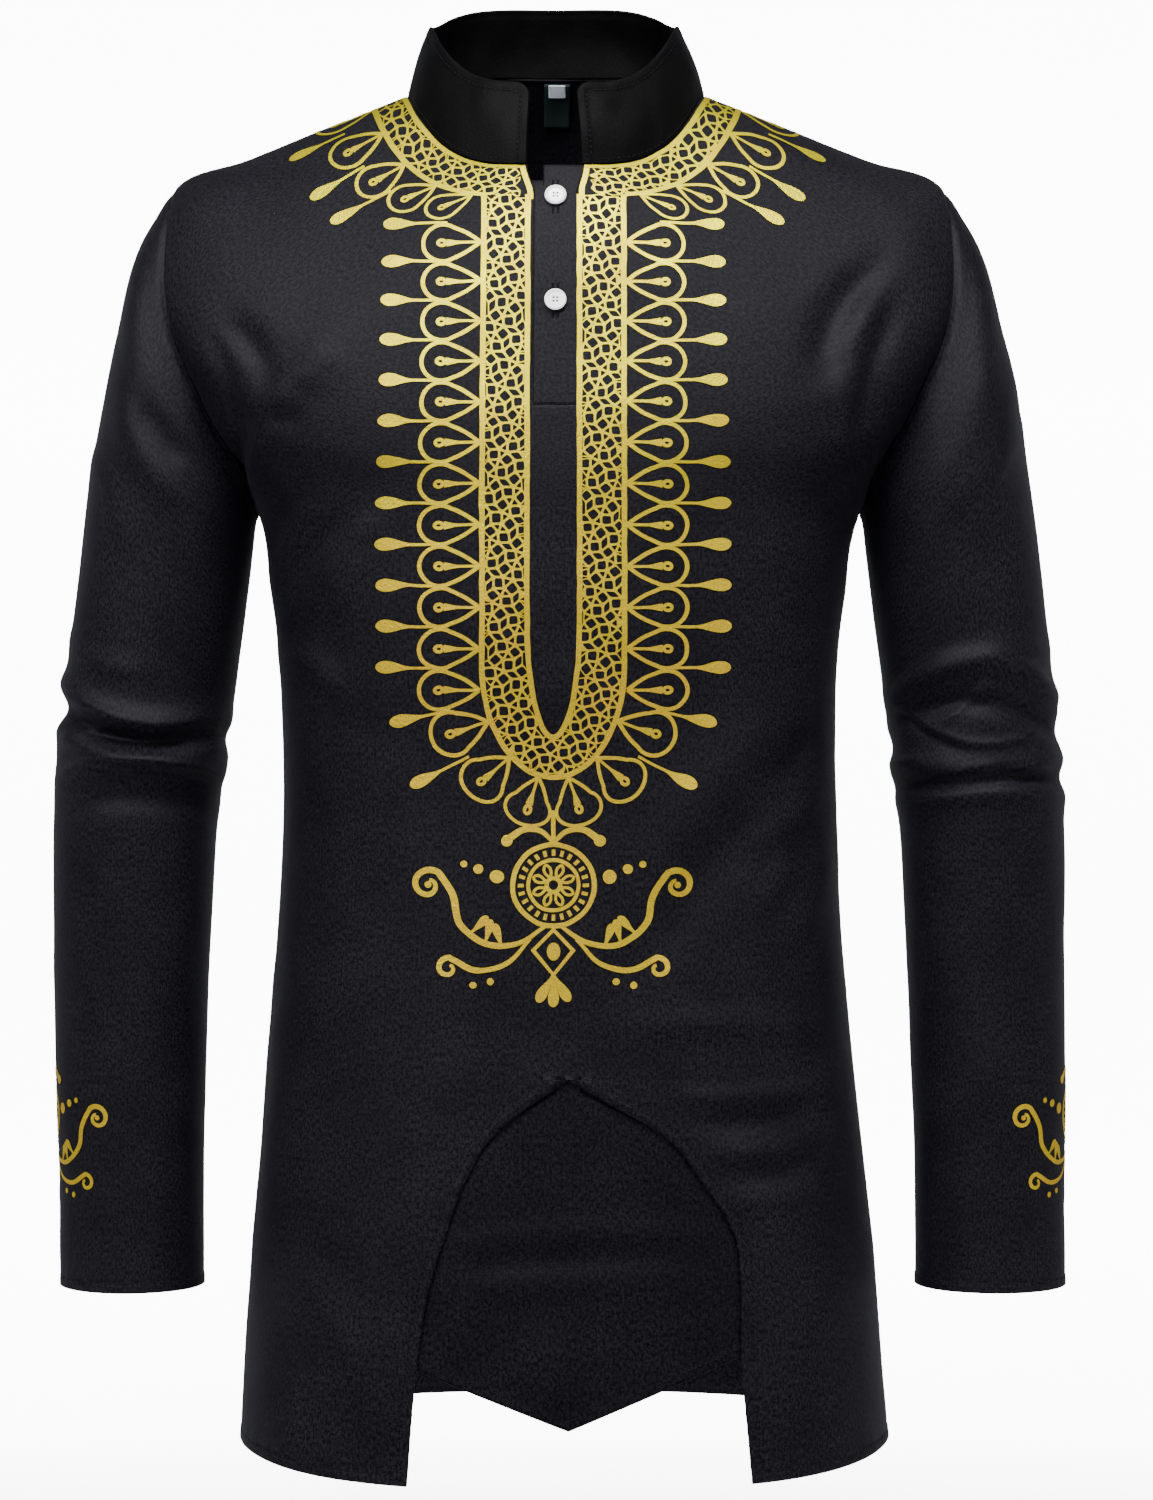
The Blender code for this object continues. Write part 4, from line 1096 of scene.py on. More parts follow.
def floor_material():
    looks = Looks("pale floor with painted glow", Roughness=0.8, Emission_Color=(1, 1, 1, 1))
    place = looks.on_object()
    mottle = looks.noise(place, 3.0, 2.0, 0.5)
    # Painted glow: emission that grows from the front of the floor to the backdrop, in place of
    # studio light falling on them
    backdrop_glow = looks.spread(looks.axis(place, "Y"), -0.2, 0.5, 0.3, 9.0)
    looks.feed(Base_Color=looks.mix(mottle, (0.90,) * 3, (0.94,) * 3), Emission_Strength=backdrop_glow)
    return looks.material


# The neckline print: net bands, borders, petals and drops. Front sizes are as seen from the front
PRINT_CENTRE = -1.0
BAND_OUTER = 38.6
BAND_INNER = 12.4
BORDER_WIDTH = 2.8
U_OUTER_TOP = -322.0
U_OUTER_DEPTH = 60.0
U_INNER_TOP = -300.0
U_INNER_DEPTH = 58.0
NET_PITCH = 5.35
NET_LINE = 1.2
NET_TWIST = 0.165
NET_TURN = 0.36
RING_INNER = 1.2
RING_LEAD = 0.35
RING_FRONT = 27.5
RING_SIDE = 19.0
RING_HALF = 83.0
RING_DROP_FRONT = 50.0
RING_DROP_BACK = 46.0
PETAL_PITCH = 21.75
PETAL_FIRST = -95.0
PETAL_ROWS = 12
PETAL_REACH = 20.0
PETAL_RADIUS = 10.3
PETAL_LINE = 2.1
DROP_AT = 20.5
DROP_RADIUS = 2.5
PENDANT_AT = 47.0
PENDANT_RADIUS = 3.4
FOIL_LIFT = 0.28


def stroke(points, width, closed=False):
    """A line of this width as a chain of four-cornered faces; width may change along it."""
    points = np.asarray(points, float)
    if closed:
        along = np.roll(points, -1, axis=0) - np.roll(points, 1, axis=0)
    else:
        along = np.gradient(points, axis=0)
    along = along / np.linalg.norm(along, axis=1, keepdims=True)
    across = np.stack([-along[:, 1], along[:, 0]], axis=1) * np.reshape(width, (-1, 1)) / 2
    count = len(points)
    vertices = np.concatenate([points + across, points - across])
    last = count if closed else count - 1
    after = [(k + 1) % count for k in range(last)]
    return vertices, [[k, count + k, count + after[k], after[k]] for k in range(last)]


def disc(centre, radius, sides, squash=1.0):
    t = np.linspace(0, 2 * pi, sides, endpoint=False)
    x, y = radius * np.cos(t), radius * squash * np.sin(t)
    return np.stack([centre[0] + x, centre[1] + y], axis=1), [list(range(sides))]


def circle(centre, radius, width, sides):
    return stroke(disc(centre, radius, sides)[0], width, closed=True)


def local(base, direction, along, across):
    """Flat points from distances along and across a direction."""
    direction = np.asarray(direction, float) / np.hypot(*direction)
    side = np.array([-direction[1], direction[0]])
    along, across = np.asarray(along, float), np.asarray(across, float)
    return np.asarray(base) + along[..., None] * direction + across[..., None] * side


def petal(base, direction, size=1.0, wide=1.0):
    """A loop that leaves the border at a point and rounds at its far end."""
    reach, radius = PETAL_REACH * size, PETAL_RADIUS * size * wide
    tangent = np.arccos(np.clip(radius / reach, -1, 1))
    turn = np.linspace(pi - tangent, -(pi - tangent), 26)
    along = reach + radius / wide * np.cos(turn)
    across = radius * np.sin(turn)
    lead = np.linspace(0, 1, 7)[:-1]
    bulge = 0.9 * size * np.sin(pi * lead)
    first_along, first_across = lead * along[0], lead * across[0] + bulge
    along = np.concatenate([first_along, along, first_along[::-1]])
    across = np.concatenate([first_across, across, -first_across[::-1]])
    return stroke(local(base, direction, along, across), PETAL_LINE * size)


def stem_drop(base, direction, start, end, radius, stem, hole):
    """A drop on a stem, with a small hole if it has a radius."""
    long = 1.5 * radius
    if hole > 0:
        along = np.linspace(start, end - 1.05 * radius, 9)
        swell = ramp(along, end - 4.2 * radius, end - 0.6 * radius)
        shapes = [stroke(local(base, direction, along, 0 * along), stem + 1.1 * radius * swell)]
        t = np.linspace(0, 2 * pi, 16, endpoint=False)
        middle = (radius + hole) / 2
        centre = local(base, direction, end, 0.0)
        rim = local(centre, direction, middle * 1.25 * np.cos(t), middle * np.sin(t))
        shapes.append(stroke(rim, radius - hole, closed=True))
        return shapes
    round_end = end + long * np.sin(np.linspace(0, pi / 2 * 0.94, 7))
    neck = np.linspace(start, end - 3.6 * radius, 5)
    swelling = np.linspace(end - 3.3 * radius, end, 10)[:-1]
    along = np.concatenate([neck, swelling, round_end])
    width = stem + (2 * radius - stem) * ramp(along, end - 3.8 * radius, end)
    past = np.clip((along - end) / long, 0, 1)
    width = np.where(along > end, 2 * radius * np.sqrt(1 - past**2), width)
    return [stroke(local(base, direction, along, 0 * along), width)]


def net_cells(low, high):
    """Corners of the net's cells over a flat box: turned squares, leaning ones, some split."""
    reach = np.hypot(*(np.array(high) - np.array(low))) / 2 + NET_PITCH
    middle = (np.array(high) + np.array(low)) / 2
    count = int(reach / NET_PITCH) + 1
    numbers = np.arange(-count, count + 1)
    i, j = np.meshgrid(numbers, numbers, indexing="ij")
    x = NET_PITCH * (i + NET_TWIST * np.where(j % 2, 1, -1))
    y = NET_PITCH * (j + NET_TWIST * np.where(i % 2, 1, -1))
    c, s = np.cos(NET_TURN), np.sin(NET_TURN)
    at = np.stack([c * x - s * y, s * x + c * y], axis=-1)
    at += 0.5 * np.stack([noise(np.dstack([x, y, 0 * x]), 4.0, k) for k in (31, 32)], axis=-1)
    at += middle
    cells = []
    for m in range(len(numbers) - 1):
        for n in range(len(numbers) - 1):
            corners = [at[m, n], at[m + 1, n], at[m + 1, n + 1], at[m, n + 1]]
            first = np.hypot(*(corners[2] - corners[0]))
            second = np.hypot(*(corners[3] - corners[1]))
            if (m + n) % 2 == 0 and (m + 3 * n) % 4 == 0:
                if first < second:
                    cells += [corners[:3], [corners[0], corners[2], corners[3]]]
                else:
                    cells += [[corners[0], corners[1], corners[3]], corners[1:]]
            else:
                cells.append(corners)
    return cells


def cell_frame(corners):
    """The net's line round one cell: its corners, a hole, and the faces between."""
    corners = np.array(corners)
    count = len(corners)
    ways = np.roll(corners, -1, axis=0) - corners
    lengths = np.linalg.norm(ways, axis=1, keepdims=True)
    if lengths.min() < 0.4:
        return None
    ways = ways / lengths
    inward = np.stack([-ways[:, 1], ways[:, 0]], axis=1)
    inset = []
    for k in range(count):
        before, after = ways[k - 1], ways[k]
        sine = before[0] * after[1] - before[1] * after[0]
        if sine < 0.15:
            return corners, [list(range(count))]
        push = (inward[k - 1] * 1.0 + inward[k]) / (1 + np.dot(inward[k - 1], inward[k]))
        inset.append(corners[k] + push * NET_LINE / 2)
    inset = np.array(inset)
    edges = np.roll(inset, -1, axis=0) - inset
    if ((edges * ways).sum(axis=1) < 0.9).any():
        return corners, [list(range(count))]
    after = inset + 0.16 * edges
    before = inset - 0.16 * np.roll(edges, 1, axis=0)
    vertices = np.concatenate([corners, before, after])
    faces = []
    for k in range(count):
        n = (k + 1) % count
        faces.append([k, n, count + n, 2 * count + k])
        faces.append([k, 2 * count + k, count + k])
    return vertices, faces


def net_shapes(low, high, inside):
    """The net's cells in the region that inside() tells; corners past its edge are drawn in."""
    shapes = []
    cells = net_cells(low, high)
    middles = np.array([np.mean(cell, axis=0) for cell in cells])
    for cell, keep in zip(cells, inside(middles)):
        if not keep:
            continue
        corners = np.array(cell)
        middle = corners.mean(axis=0)
        within = inside(corners)
        for k in np.flatnonzero(~within):
            low_t, high_t = 0.0, 1.0
            for _ in range(7):
                t = (low_t + high_t) / 2
                if inside((middle + (corners[k] - middle) * t)[None])[0]:
                    low_t = t
                else:
                    high_t = t
            corners[k] = middle + (corners[k] - middle) * low_t
        frame_of_cell = cell_frame(corners)
        if frame_of_cell is not None:
            shapes.append(frame_of_cell)
    return shapes


def band_half(z, half, top, depth):
    share = np.clip((top - z) / depth, 0, 1)
    return half * np.sqrt(1 - share**2)


def ring_outer(phi):
    return RING_SIDE + (RING_FRONT - RING_SIDE) * np.where(np.cos(phi) > 0, np.cos(phi) ** 2, 0)


def ring_flat(station, phi):
    """Flat place of a point near the neck, as if the yoke were laid out."""
    drop = np.where(np.cos(phi) > 0, RING_DROP_FRONT, RING_DROP_BACK)
    return np.stack([(RING_HALF + station) * np.sin(phi), -(drop + station) * np.cos(phi)], axis=-1)


def ring_place(flat):
    """Station and phi of a flat place near the neck."""
    a, b = flat[..., 0], -flat[..., 1]
    drop = np.where(b > 0, RING_DROP_FRONT, RING_DROP_BACK)
    low, high = np.full(a.shape, -30.0), np.full(a.shape, 400.0)
    for _ in range(40):
        station = (low + high) / 2
        outside = (a / (RING_HALF + station)) ** 2 + (b / (drop + station)) ** 2 > 1
        low, high = np.where(outside, station, low), np.where(outside, high, station)
    station = (low + high) / 2
    return station, np.arctan2(a / (RING_HALF + station), b / (drop + station))


def front_place(flat):
    """Station and phi of the front's cloth at this X and Z."""
    x, z = flat[..., 0], flat[..., 1]
    station = station_of_front(z)
    for _ in range(12):
        phi = phi_at(station, x)
        off = torso_form(station, phi)[..., 2] - z
        station = np.clip(station + off, 0, TORSO_STATIONS[-1])
    return station, phi_at(station, x)


def front_outer_z(x):
    """Height at which the neck ring's outer border crosses this X in the front."""
    phi = np.arcsin(np.clip(x / (RING_HALF + 24), -1, 1))
    return torso_form(ring_outer(phi), phi)[..., 2]


# Petals and pendants round the U on each side: turn from level, size and width
U_PETAL_COLUMNS = ("turn", "size", "wide")
U_PETALS = {
    "side": (0.50, 1.00, 1.12),
    "low": (0.93, 0.93, 1.28),
    "foot": (1.36, 0.86, 1.36),
}
U_PENDANTS = {0.33: 43.0, 0.71: 45.0}


def u_place(side, turn):
    """A point of the U's outer edge at this turn from its side, and the way out there."""
    x = PRINT_CENTRE + side * BAND_OUTER * np.cos(turn)
    z = U_OUTER_TOP - U_OUTER_DEPTH * np.sin(turn)
    return (x, z), (side * np.cos(turn) * U_OUTER_DEPTH, -np.sin(turn) * BAND_OUTER)


# Height at which the bands' inner border starts
BAND_INNER_START = -68.5


def front_print():
    """The part of the neckline print that lies below the ring."""
    def inside(points):
        x, z = points[..., 0] - PRINT_CENTRE, points[..., 1]
        outer = band_half(z, BAND_OUTER - 1.5, U_OUTER_TOP, U_OUTER_DEPTH - 1.5)
        inner = band_half(z, BAND_INNER + 1.5, U_INNER_TOP, U_INNER_DEPTH + 1.5)
        return (np.abs(x) < outer) & (np.abs(x) > inner) & (z < front_outer_z(points[..., 0]) + 2.0)

    net = net_shapes((-42, -388), (40, -60), inside)
    shapes = []
    top = float(front_outer_z(np.array(BAND_OUTER)))
    turn = np.linspace(0, pi, 49)
    for half, u_top, depth, inset in (
        (BAND_OUTER, U_OUTER_TOP, U_OUTER_DEPTH, 0.5),
        (BAND_INNER, U_INNER_TOP, U_INNER_DEPTH, -0.5),
    ):
        reach = half - inset * BORDER_WIDTH
        start = top if half == BAND_OUTER else BAND_INNER_START
        straight = np.arange(start, u_top, -3.0)
        bottom_x = PRINT_CENTRE - reach * np.cos(turn)
        bottom_z = u_top - (depth - inset * BORDER_WIDTH) * np.sin(turn)
        left = np.stack([0 * straight + PRINT_CENTRE - reach, straight], axis=1)
        right = np.stack([0 * straight + PRINT_CENTRE + reach, straight], axis=1)
        path = np.concatenate([left, np.stack([bottom_x, bottom_z], axis=1), right[::-1]])
        shapes.append(stroke(path, BORDER_WIDTH))

    for side in (-1, 1):
        places = []
        for k in range(PETAL_ROWS):
            base = (PRINT_CENTRE + side * BAND_OUTER, PETAL_FIRST - PETAL_PITCH * k)
            places.append((base, (side, 0.0), 1.0, 1.0))
        for row in U_PETALS.values():
            turn, size, wide = (row[U_PETAL_COLUMNS.index(name)] for name in U_PETAL_COLUMNS)
            places.append((*u_place(side, turn), size, wide))
        for base, way, size, wide in places:
            shapes.append(petal(base, way, size, wide))
            shapes += stem_drop(base, way, 0.0, DROP_AT * size, DROP_RADIUS, 1.5, 0.7)
        for k in range(PETAL_ROWS):
            base = (PRINT_CENTRE + side * BAND_OUTER, PETAL_FIRST + PETAL_PITCH * (0.5 - k))
            shapes += stem_drop(base, (side, 0.03), 18.0, PENDANT_AT, PENDANT_RADIUS, 1.5, 0.0)
        for turn, reach in U_PENDANTS.items():
            shapes += stem_drop(*u_place(side, turn), 17.0, reach, PENDANT_RADIUS, 1.5, 0.0)
    return net, shapes


# How far the ring's petals turn outward near the slit, and the angles over which that grows
RING_LEAN = 0.3
RING_LEAN_RAMP = (0.40, 1.25)
RING_SLIT_HALF = 17.0


def ring_print():
    """The part of the neckline print round the neck, in flat places."""
    def inside(points):
        station, phi = ring_place(points)
        front = np.cos(phi) > 0
        clear = np.abs(points[..., 0]) > RING_SLIT_HALF + 1.5
        return (station > RING_INNER + 1.5) & (station < ring_outer(phi) - 1.0) & (clear | ~front)

    reach = RING_HALF + RING_FRONT
    net = net_shapes((-reach, -reach), (reach, reach), inside)
    shapes = []
    begin = np.arcsin(RING_SLIT_HALF / (RING_HALF + 3))
    phi = np.linspace(begin, 2 * pi - begin, 150)
    shapes.append(stroke(ring_flat(RING_INNER + 1.3 + 0 * phi, phi), 2.6))
    begin = np.arcsin((BAND_OUTER - 2.0) / (RING_HALF + 26))
    phi = np.linspace(begin, 2 * pi - begin, 150)
    shapes.append(stroke(ring_flat(ring_outer(phi) - 1.3, phi), BORDER_WIDTH))
    for side in (-1, 1):
        station = np.linspace(RING_INNER, RING_FRONT + 1, 9)
        edge = slit_half(front_z_at(station)) + 1.8
        edge_phi = side * np.arcsin(edge / (RING_HALF + station))
        shapes.append(stroke(ring_flat(station, edge_phi), 2.8))

    path_phi = np.linspace(begin, 2 * pi - begin, 400)
    path = ring_flat(ring_outer(path_phi), path_phi)
    run = np.concatenate([[0], np.cumsum(np.linalg.norm(np.diff(path, axis=0), axis=1))])

    def point_at(length):
        return np.array([np.interp(length, run, path[:, 0]), np.interp(length, run, path[:, 1])])

    lead = RING_LEAD * PETAL_PITCH
    count = int(round((run[-1] - 2 * lead) / PETAL_PITCH))
    for k in range(2 * count + 1):
        at = lead + (run[-1] - 2 * lead) * k / (2 * count)
        base = point_at(at)
        way = point_at(min(at + 1.0, run[-1])) - point_at(max(at - 1.0, 0.0))
        outward = np.array([way[1], -way[0]]) / np.hypot(*way)
        outward = outward * np.sign(np.dot(outward, base))
        place_phi = float(ring_place(base)[1])
        lean = RING_LEAN + (1 - RING_LEAN) * float(ramp(abs(place_phi), *RING_LEAN_RAMP))
        sideways = np.array([np.sign(base[0]), -0.08])
        outward = outward * lean + sideways * (1 - lean)
        size = 0.78 + 0.14 * lean
        if k in (1, 2 * count - 1):
            continue
        if k % 2 == 0:
            shapes.append(petal(base, outward, size))
            shapes += stem_drop(base, outward, 0.0, DROP_AT * size, DROP_RADIUS * size, 1.4, 0.6)
        else:
            reach = PENDANT_AT * (1.08 - 0.24 * lean)
            shapes += stem_drop(base, outward, 16.0, reach, PENDANT_RADIUS, 1.5, 0.0)
    return net, shapes


def spiral(centre, radius, turns_from, turns_to, count=26):
    """A scroll's end that winds in."""
    turn = np.linspace(turns_from, turns_to, count)
    size = np.linspace(1.0, 0.3, count) * radius
    return np.stack([centre[0] + size * np.cos(turn), centre[1] + size * np.sin(turn)], axis=1)


def curve_through(knots, count=40):
    """A smooth line through a few flat points."""
    knots = np.asarray(knots, float)
    steps = np.linalg.norm(np.diff(knots, axis=0), axis=1)
    at = np.concatenate([[0], np.cumsum(steps)])
    t = np.linspace(0, at[-1], count)
    return np.stack([smooth(at, knots[:, 0], t), smooth(at, knots[:, 1], t)], axis=1)


# Dots on each side of the ornament: place, size and sides
DOTS = (
    (29.5, 17.0, 3.6, 16),
    (39.0, 21.0, 2.6, 16),
    (46.5, 23.5, 1.8, 16),
    (33.0, -38.5, 1.9, 10),
    (42.0, -40.5, 1.9, 10),
)
# Each scroll of the ornament: knots of its arm, curl (centre, radius, turns), line and swell
SCROLLS = (
    (
        ((4.0, -9.0), (18.0, -18.0), (35.0, -18.5), (48.5, -8.0), (52.0, 7.0), (59.0, 19.0)),
        ((64.5, 12.5), 8.4, 2.25, -4.4),
        1.7,
        1.9,
    ),
    (
        ((12.0, -16.0), (25.0, -29.0), (41.0, -32.5), (54.0, -26.0)),
        ((54.5, -31.5), 5.8, 1.65, -4.2),
        1.5,
        1.5,
    ),
)


def ornament():
    """A symmetrical ornament of general form: sun wheel, scrolls, lozenge and drops."""
    shapes = [stroke([(0, 52), (0, 46), (0, 41), (0, 34)], 2.4)]
    hub = (0.0, 12.5)
    shapes += [circle(hub, 21.5, 2.6, 48), circle(hub, 13.4, 2.0, 40), circle(hub, 3.6, 2.2, 18)]
    for k in range(24):
        turn = 2 * pi * k / 24
        way = (np.cos(turn), np.sin(turn))
        shapes.append(stroke(local(hub, way, np.array([15.6, 17.2, 18.8]), np.zeros(3)), 1.9))
    for k in range(8):
        turn = 2 * pi * (k + 0.5) / 8
        way = (np.cos(turn), np.sin(turn))
        base = local(hub, way, 4.2, 0.0)
        along = np.array([0.0, 1.6, 3.4, 5.2, 6.6, 7.2, 6.6, 5.2, 3.4, 1.6, 0.0])
        across = np.array([0.0, 1.0, 1.7, 1.7, 0.9, 0.0, -0.9, -1.7, -1.7, -1.0, 0.0])
        shapes.append(stroke(local(base, way, along, across), 1.5))
    lozenge = [(0, -11), (10.5, -22), (0, -35), (-10.5, -22)]
    shapes.append(stroke(lozenge, 2.6, closed=True))
    shapes.append(disc((0, -22.5), 3.6, 14, 1.3))
    for lean, end in ((0.0, 12.5), (0.62, 12.0), (-0.62, 12.0)):
        shapes += stem_drop((0, -35), (lean, -1.0), 0.0, end, 2.9, 1.6, 0.0)
    for side in (-1, 1):
        for knots, curl, line, swell in SCROLLS:
            path = np.concatenate([curve_through(knots)[:-1], spiral(*curl)])
            width = line + swell * np.sin(np.linspace(0.15, pi * 0.97, len(path)))
            shapes.append(stroke(path * [side, 1], width))
            if knots is SCROLLS[0][0]:
                shapes.append(disc((side * 64.5, 12.5), 1.8, 10))
        for x, y, way in ((27.0, -20.0, 1.25), (35.5, -18.0, 1.8), (43.0, -13.0, 2.35)):
            root = (side * x, y)
            shapes += stem_drop(root, (side * np.cos(way), np.sin(way)), 0.0, 9.5, 2.2, 1.5, 0.0)
        for x, y, size, sides in DOTS:
            shapes.append(disc((side * x, y), size, sides))
        leaf = curve_through([(0, 35), (7, 41), (15, 42), (23, 37.5)])
        shapes.append(stroke(leaf * [side, 1], np.linspace(2.0, 3.8, len(leaf))))
        shapes.append(disc((side * 24.5, 36.0), 3.1, 14))
    return shapes


def joined_flat(shapes):
    vertices, faces, start = [], [], 0
    for points, polygons in shapes:
        vertices.append(points)
        faces += [[start + c for c in polygon] for polygon in polygons]
        start += len(points)
    flat = np.concatenate(vertices)
    lattice = np.column_stack([flat, np.zeros(len(flat))])
    wobble = np.stack([noise(lattice, 7.0, k) for k in (41, 42)], axis=1)
    return flat + 0.28 * wobble, faces


def union_of(shapes):
    """Overlapping shapes as one flat mesh."""
    flat, faces = joined_flat(shapes)
    joined = delaunay_2d_cdt([Vector(p) for p in flat], [], faces, 1, 1e-3)
    points = np.array([list(p) for p in joined[0]])
    return points, [f for f, source in zip(joined[2], joined[5]) if source]


def make_foil(name, net, drawn, surface, material):
    """Foil on the cloth by surface(): the drawn shapes as one sheet, and the net just under it."""
    points, faces = union_of(drawn)
    lift = np.full(len(points), FOIL_LIFT)
    if net:
        flat, cells = joined_flat(net)
        faces = list(faces) + [[c + len(points) for c in cell] for cell in cells]
        points = np.concatenate([points, flat])
        lift = np.concatenate([lift, np.full(len(flat), FOIL_LIFT - 0.07)])
    cloth, normals = surface(points)
    vertices = cloth + lift[:, None] * normals
    turned = []
    for face in faces:
        a, b, c = vertices[face[0]], vertices[face[1]], vertices[face[2]]
        facing = np.dot(np.cross(b - a, c - a), normals[face[0]])
        turned.append(face if facing > 0 else face[::-1])
    mesh = bpy.data.meshes.new(name)
    mesh.from_pydata((vertices * MM).tolist(), [], turned)
    layer = mesh.uv_layers.new(name="cloth")
    order = np.concatenate([np.array(face) for face in turned])
    layer.data.foreach_set("uv", (points[order] * MM).astype(np.float32).ravel())
    mesh.shade_smooth()
    return add_piece(name, mesh, material)


def on_body(station, phi, relief):
    """Points and normals of the body's cloth."""
    cloth = lambda a, b: body_cloth(a, b, relief)
    return cloth(station, phi), normals_of(cloth, station, phi)


def on_sleeve(side, station, psi):
    """Points and normals of a sleeve's cloth."""
    cloth = lambda a, b: sleeve_cloth(side, a, b)
    return cloth(station, psi), normals_of(cloth, station, psi, -side)


def ring_surface(flat):
    station, phi = ring_place(flat)
    station = np.maximum(station, 0.4)
    front, front_normal = on_body(station, phi, front_relief)
    turned = np.where(phi < 0, phi + 2 * pi, phi)
    back, back_normal = on_body(station, turned, back_relief)
    backdrop_glow = (np.abs(phi) > pi / 2)[..., None]
    return np.where(backdrop_glow, back, front), np.where(backdrop_glow, back_normal, front_normal)


def front_surface(flat):
    station, phi = front_place(flat)
    return on_body(station, phi, front_relief)


PENDANT_PLACE = (-1.0, -450.0)
CUFF_STATION = SLEEVE_STATIONS[-1] - 86
CUFF_SCALE = 0.82
CUFF_ROUND = 43.0


def pendant_surface(flat):
    return front_surface(flat + np.array(PENDANT_PLACE))


def cuff_surface(side):
    def surface(flat):
        psi = flat[:, 0] * CUFF_SCALE / CUFF_ROUND
        return on_sleeve(side, CUFF_STATION - flat[:, 1] * CUFF_SCALE, psi)

    return surface


def make_print(material):
    make_foil("foil_neckline_front", *front_print(), front_surface, material)
    make_foil("foil_neckline_ring", *ring_print(), ring_surface, material)
    make_foil("foil_pendant", [], ornament(), pendant_surface, material)
    make_foil("foil_cuff_left", [], ornament(), cuff_surface(-1), material)
    make_foil("foil_cuff_right", [], ornament(), cuff_surface(1), material)


# Stitches
COLLAR_STITCH_INSET = 4.6
STITCH_LENGTH = 2.3
STITCH_SPACE = 0.75
STITCH_HALF_WIDTH = 0.24
STITCH_LIFT = 0.12


def stitch_parts(path, normals, length=STITCH_LENGTH, space=STITCH_SPACE, half=STITCH_HALF_WIDTH):
    """Vertices and faces of short rounded threads in a row along a path on the cloth."""
    run = np.concatenate([[0], np.cumsum(np.linalg.norm(np.diff(path, axis=0), axis=1))])
    count = int(run[-1] / (length + space))
    if count < 1:
        return np.zeros((0, 3)), []
    rings = np.array([0.0, 0.12, 0.5, 0.88, 1.0])
    width = half * np.array([0.35, 0.9, 1.0, 0.9, 0.35])
    rise = STITCH_LIFT + half * np.array([-1.3, -0.2, 0.3, -0.2, -1.3])
    start = (run[-1] - count * (length + space) + space) / 2
    at = start + (length + space) * np.arange(count)[:, None] + length * rings[None, :]
    centre = np.stack([np.interp(at, run, path[:, k]) for k in range(3)], axis=-1)
    up = np.stack([np.interp(at, run, normals[:, k]) for k in range(3)], axis=-1)
    up = up / np.linalg.norm(up, axis=-1, keepdims=True)
    ahead = centre[:, -1:] - centre[:, :1]
    ahead = ahead / np.maximum(np.linalg.norm(ahead, axis=-1, keepdims=True), 1e-9)
    side = np.cross(ahead, up)
    turn = np.linspace(0, 2 * pi, 6, endpoint=False)
    ring = (
        np.cos(turn)[None, None, :, None] * side[:, :, None]
        + np.sin(turn)[None, None, :, None] * up[:, :, None]
    )
    points = (centre + rise[None, :, None] * up)[:, :, None] + width[None, :, None, None] * ring
    vertices = points.reshape(-1, 3)
    faces = []
    for n in range(count):
        base = n * 30
        for r in range(4):
            for k in range(6):
                after = (k + 1) % 6
                low, high = base + 6 * r, base + 6 * (r + 1)
                faces.append([low + k, low + after, high + after, high + k])
        faces.append([base + k for k in range(6)][::-1])
        faces.append([base + 24 + k for k in range(6)])
    return vertices, faces


def make_stitches(name, rows, material):
    """One piece from rows of (path, normals) or of (path, normals, length, space, half)."""
    vertices, faces, start = [], [], 0
    for row in rows:
        points, polygons = stitch_parts(*row)
        vertices.append(points)
        faces += [[start + c for c in polygon] for polygon in polygons]
        start += len(points)
    mesh = bpy.data.meshes.new(name)
    mesh.from_pydata((np.concatenate(vertices) * MM).tolist(), [], faces)
    mesh.shade_smooth()
    return add_piece(name, mesh, material)


def arch_stitch_path():
    """The front's topstitch round the arch in two halves, which meet over its point."""
    parts = []
    for side in (-1, 1):
        z = np.linspace(ARCH_TOP - 0.5, -757.0, 130)
        edge = np.stack([arch_edge(z, side), z], axis=-1)
        way = np.gradient(edge, axis=0)
        way = way / np.linalg.norm(way, axis=1, keepdims=True)
        outward = np.stack([-way[:, 1] * side, way[:, 0] * side], axis=-1)
        outward = outward * np.sign(outward[:, :1] * side + 1e-9)
        path = edge + HEM_WIDTH * outward
        slope = (path[0] - path[1]) / abs(path[0, 0] - path[1, 0])
        lead = path[0] + slope * abs(path[0, 0] - ARCH_CENTRE)
        parts.append(np.concatenate([lead[None], path]))
    return parts[0][::-1], parts[1]


def hem_front_rows():
    rows = []
    station = TORSO_STATIONS[-1] - HEM_WIDTH
    level = float(front_z_at(station))
    for side in (-1, 1):
        first = float(phi_at(station, arch_edge(level, side)))
        reach = side * (pi / 2 - 0.004)
        phi = np.linspace(first + side * 0.035, reach, 160)
        rows.append(on_body(np.full_like(phi, station), phi, front_relief))
    return rows


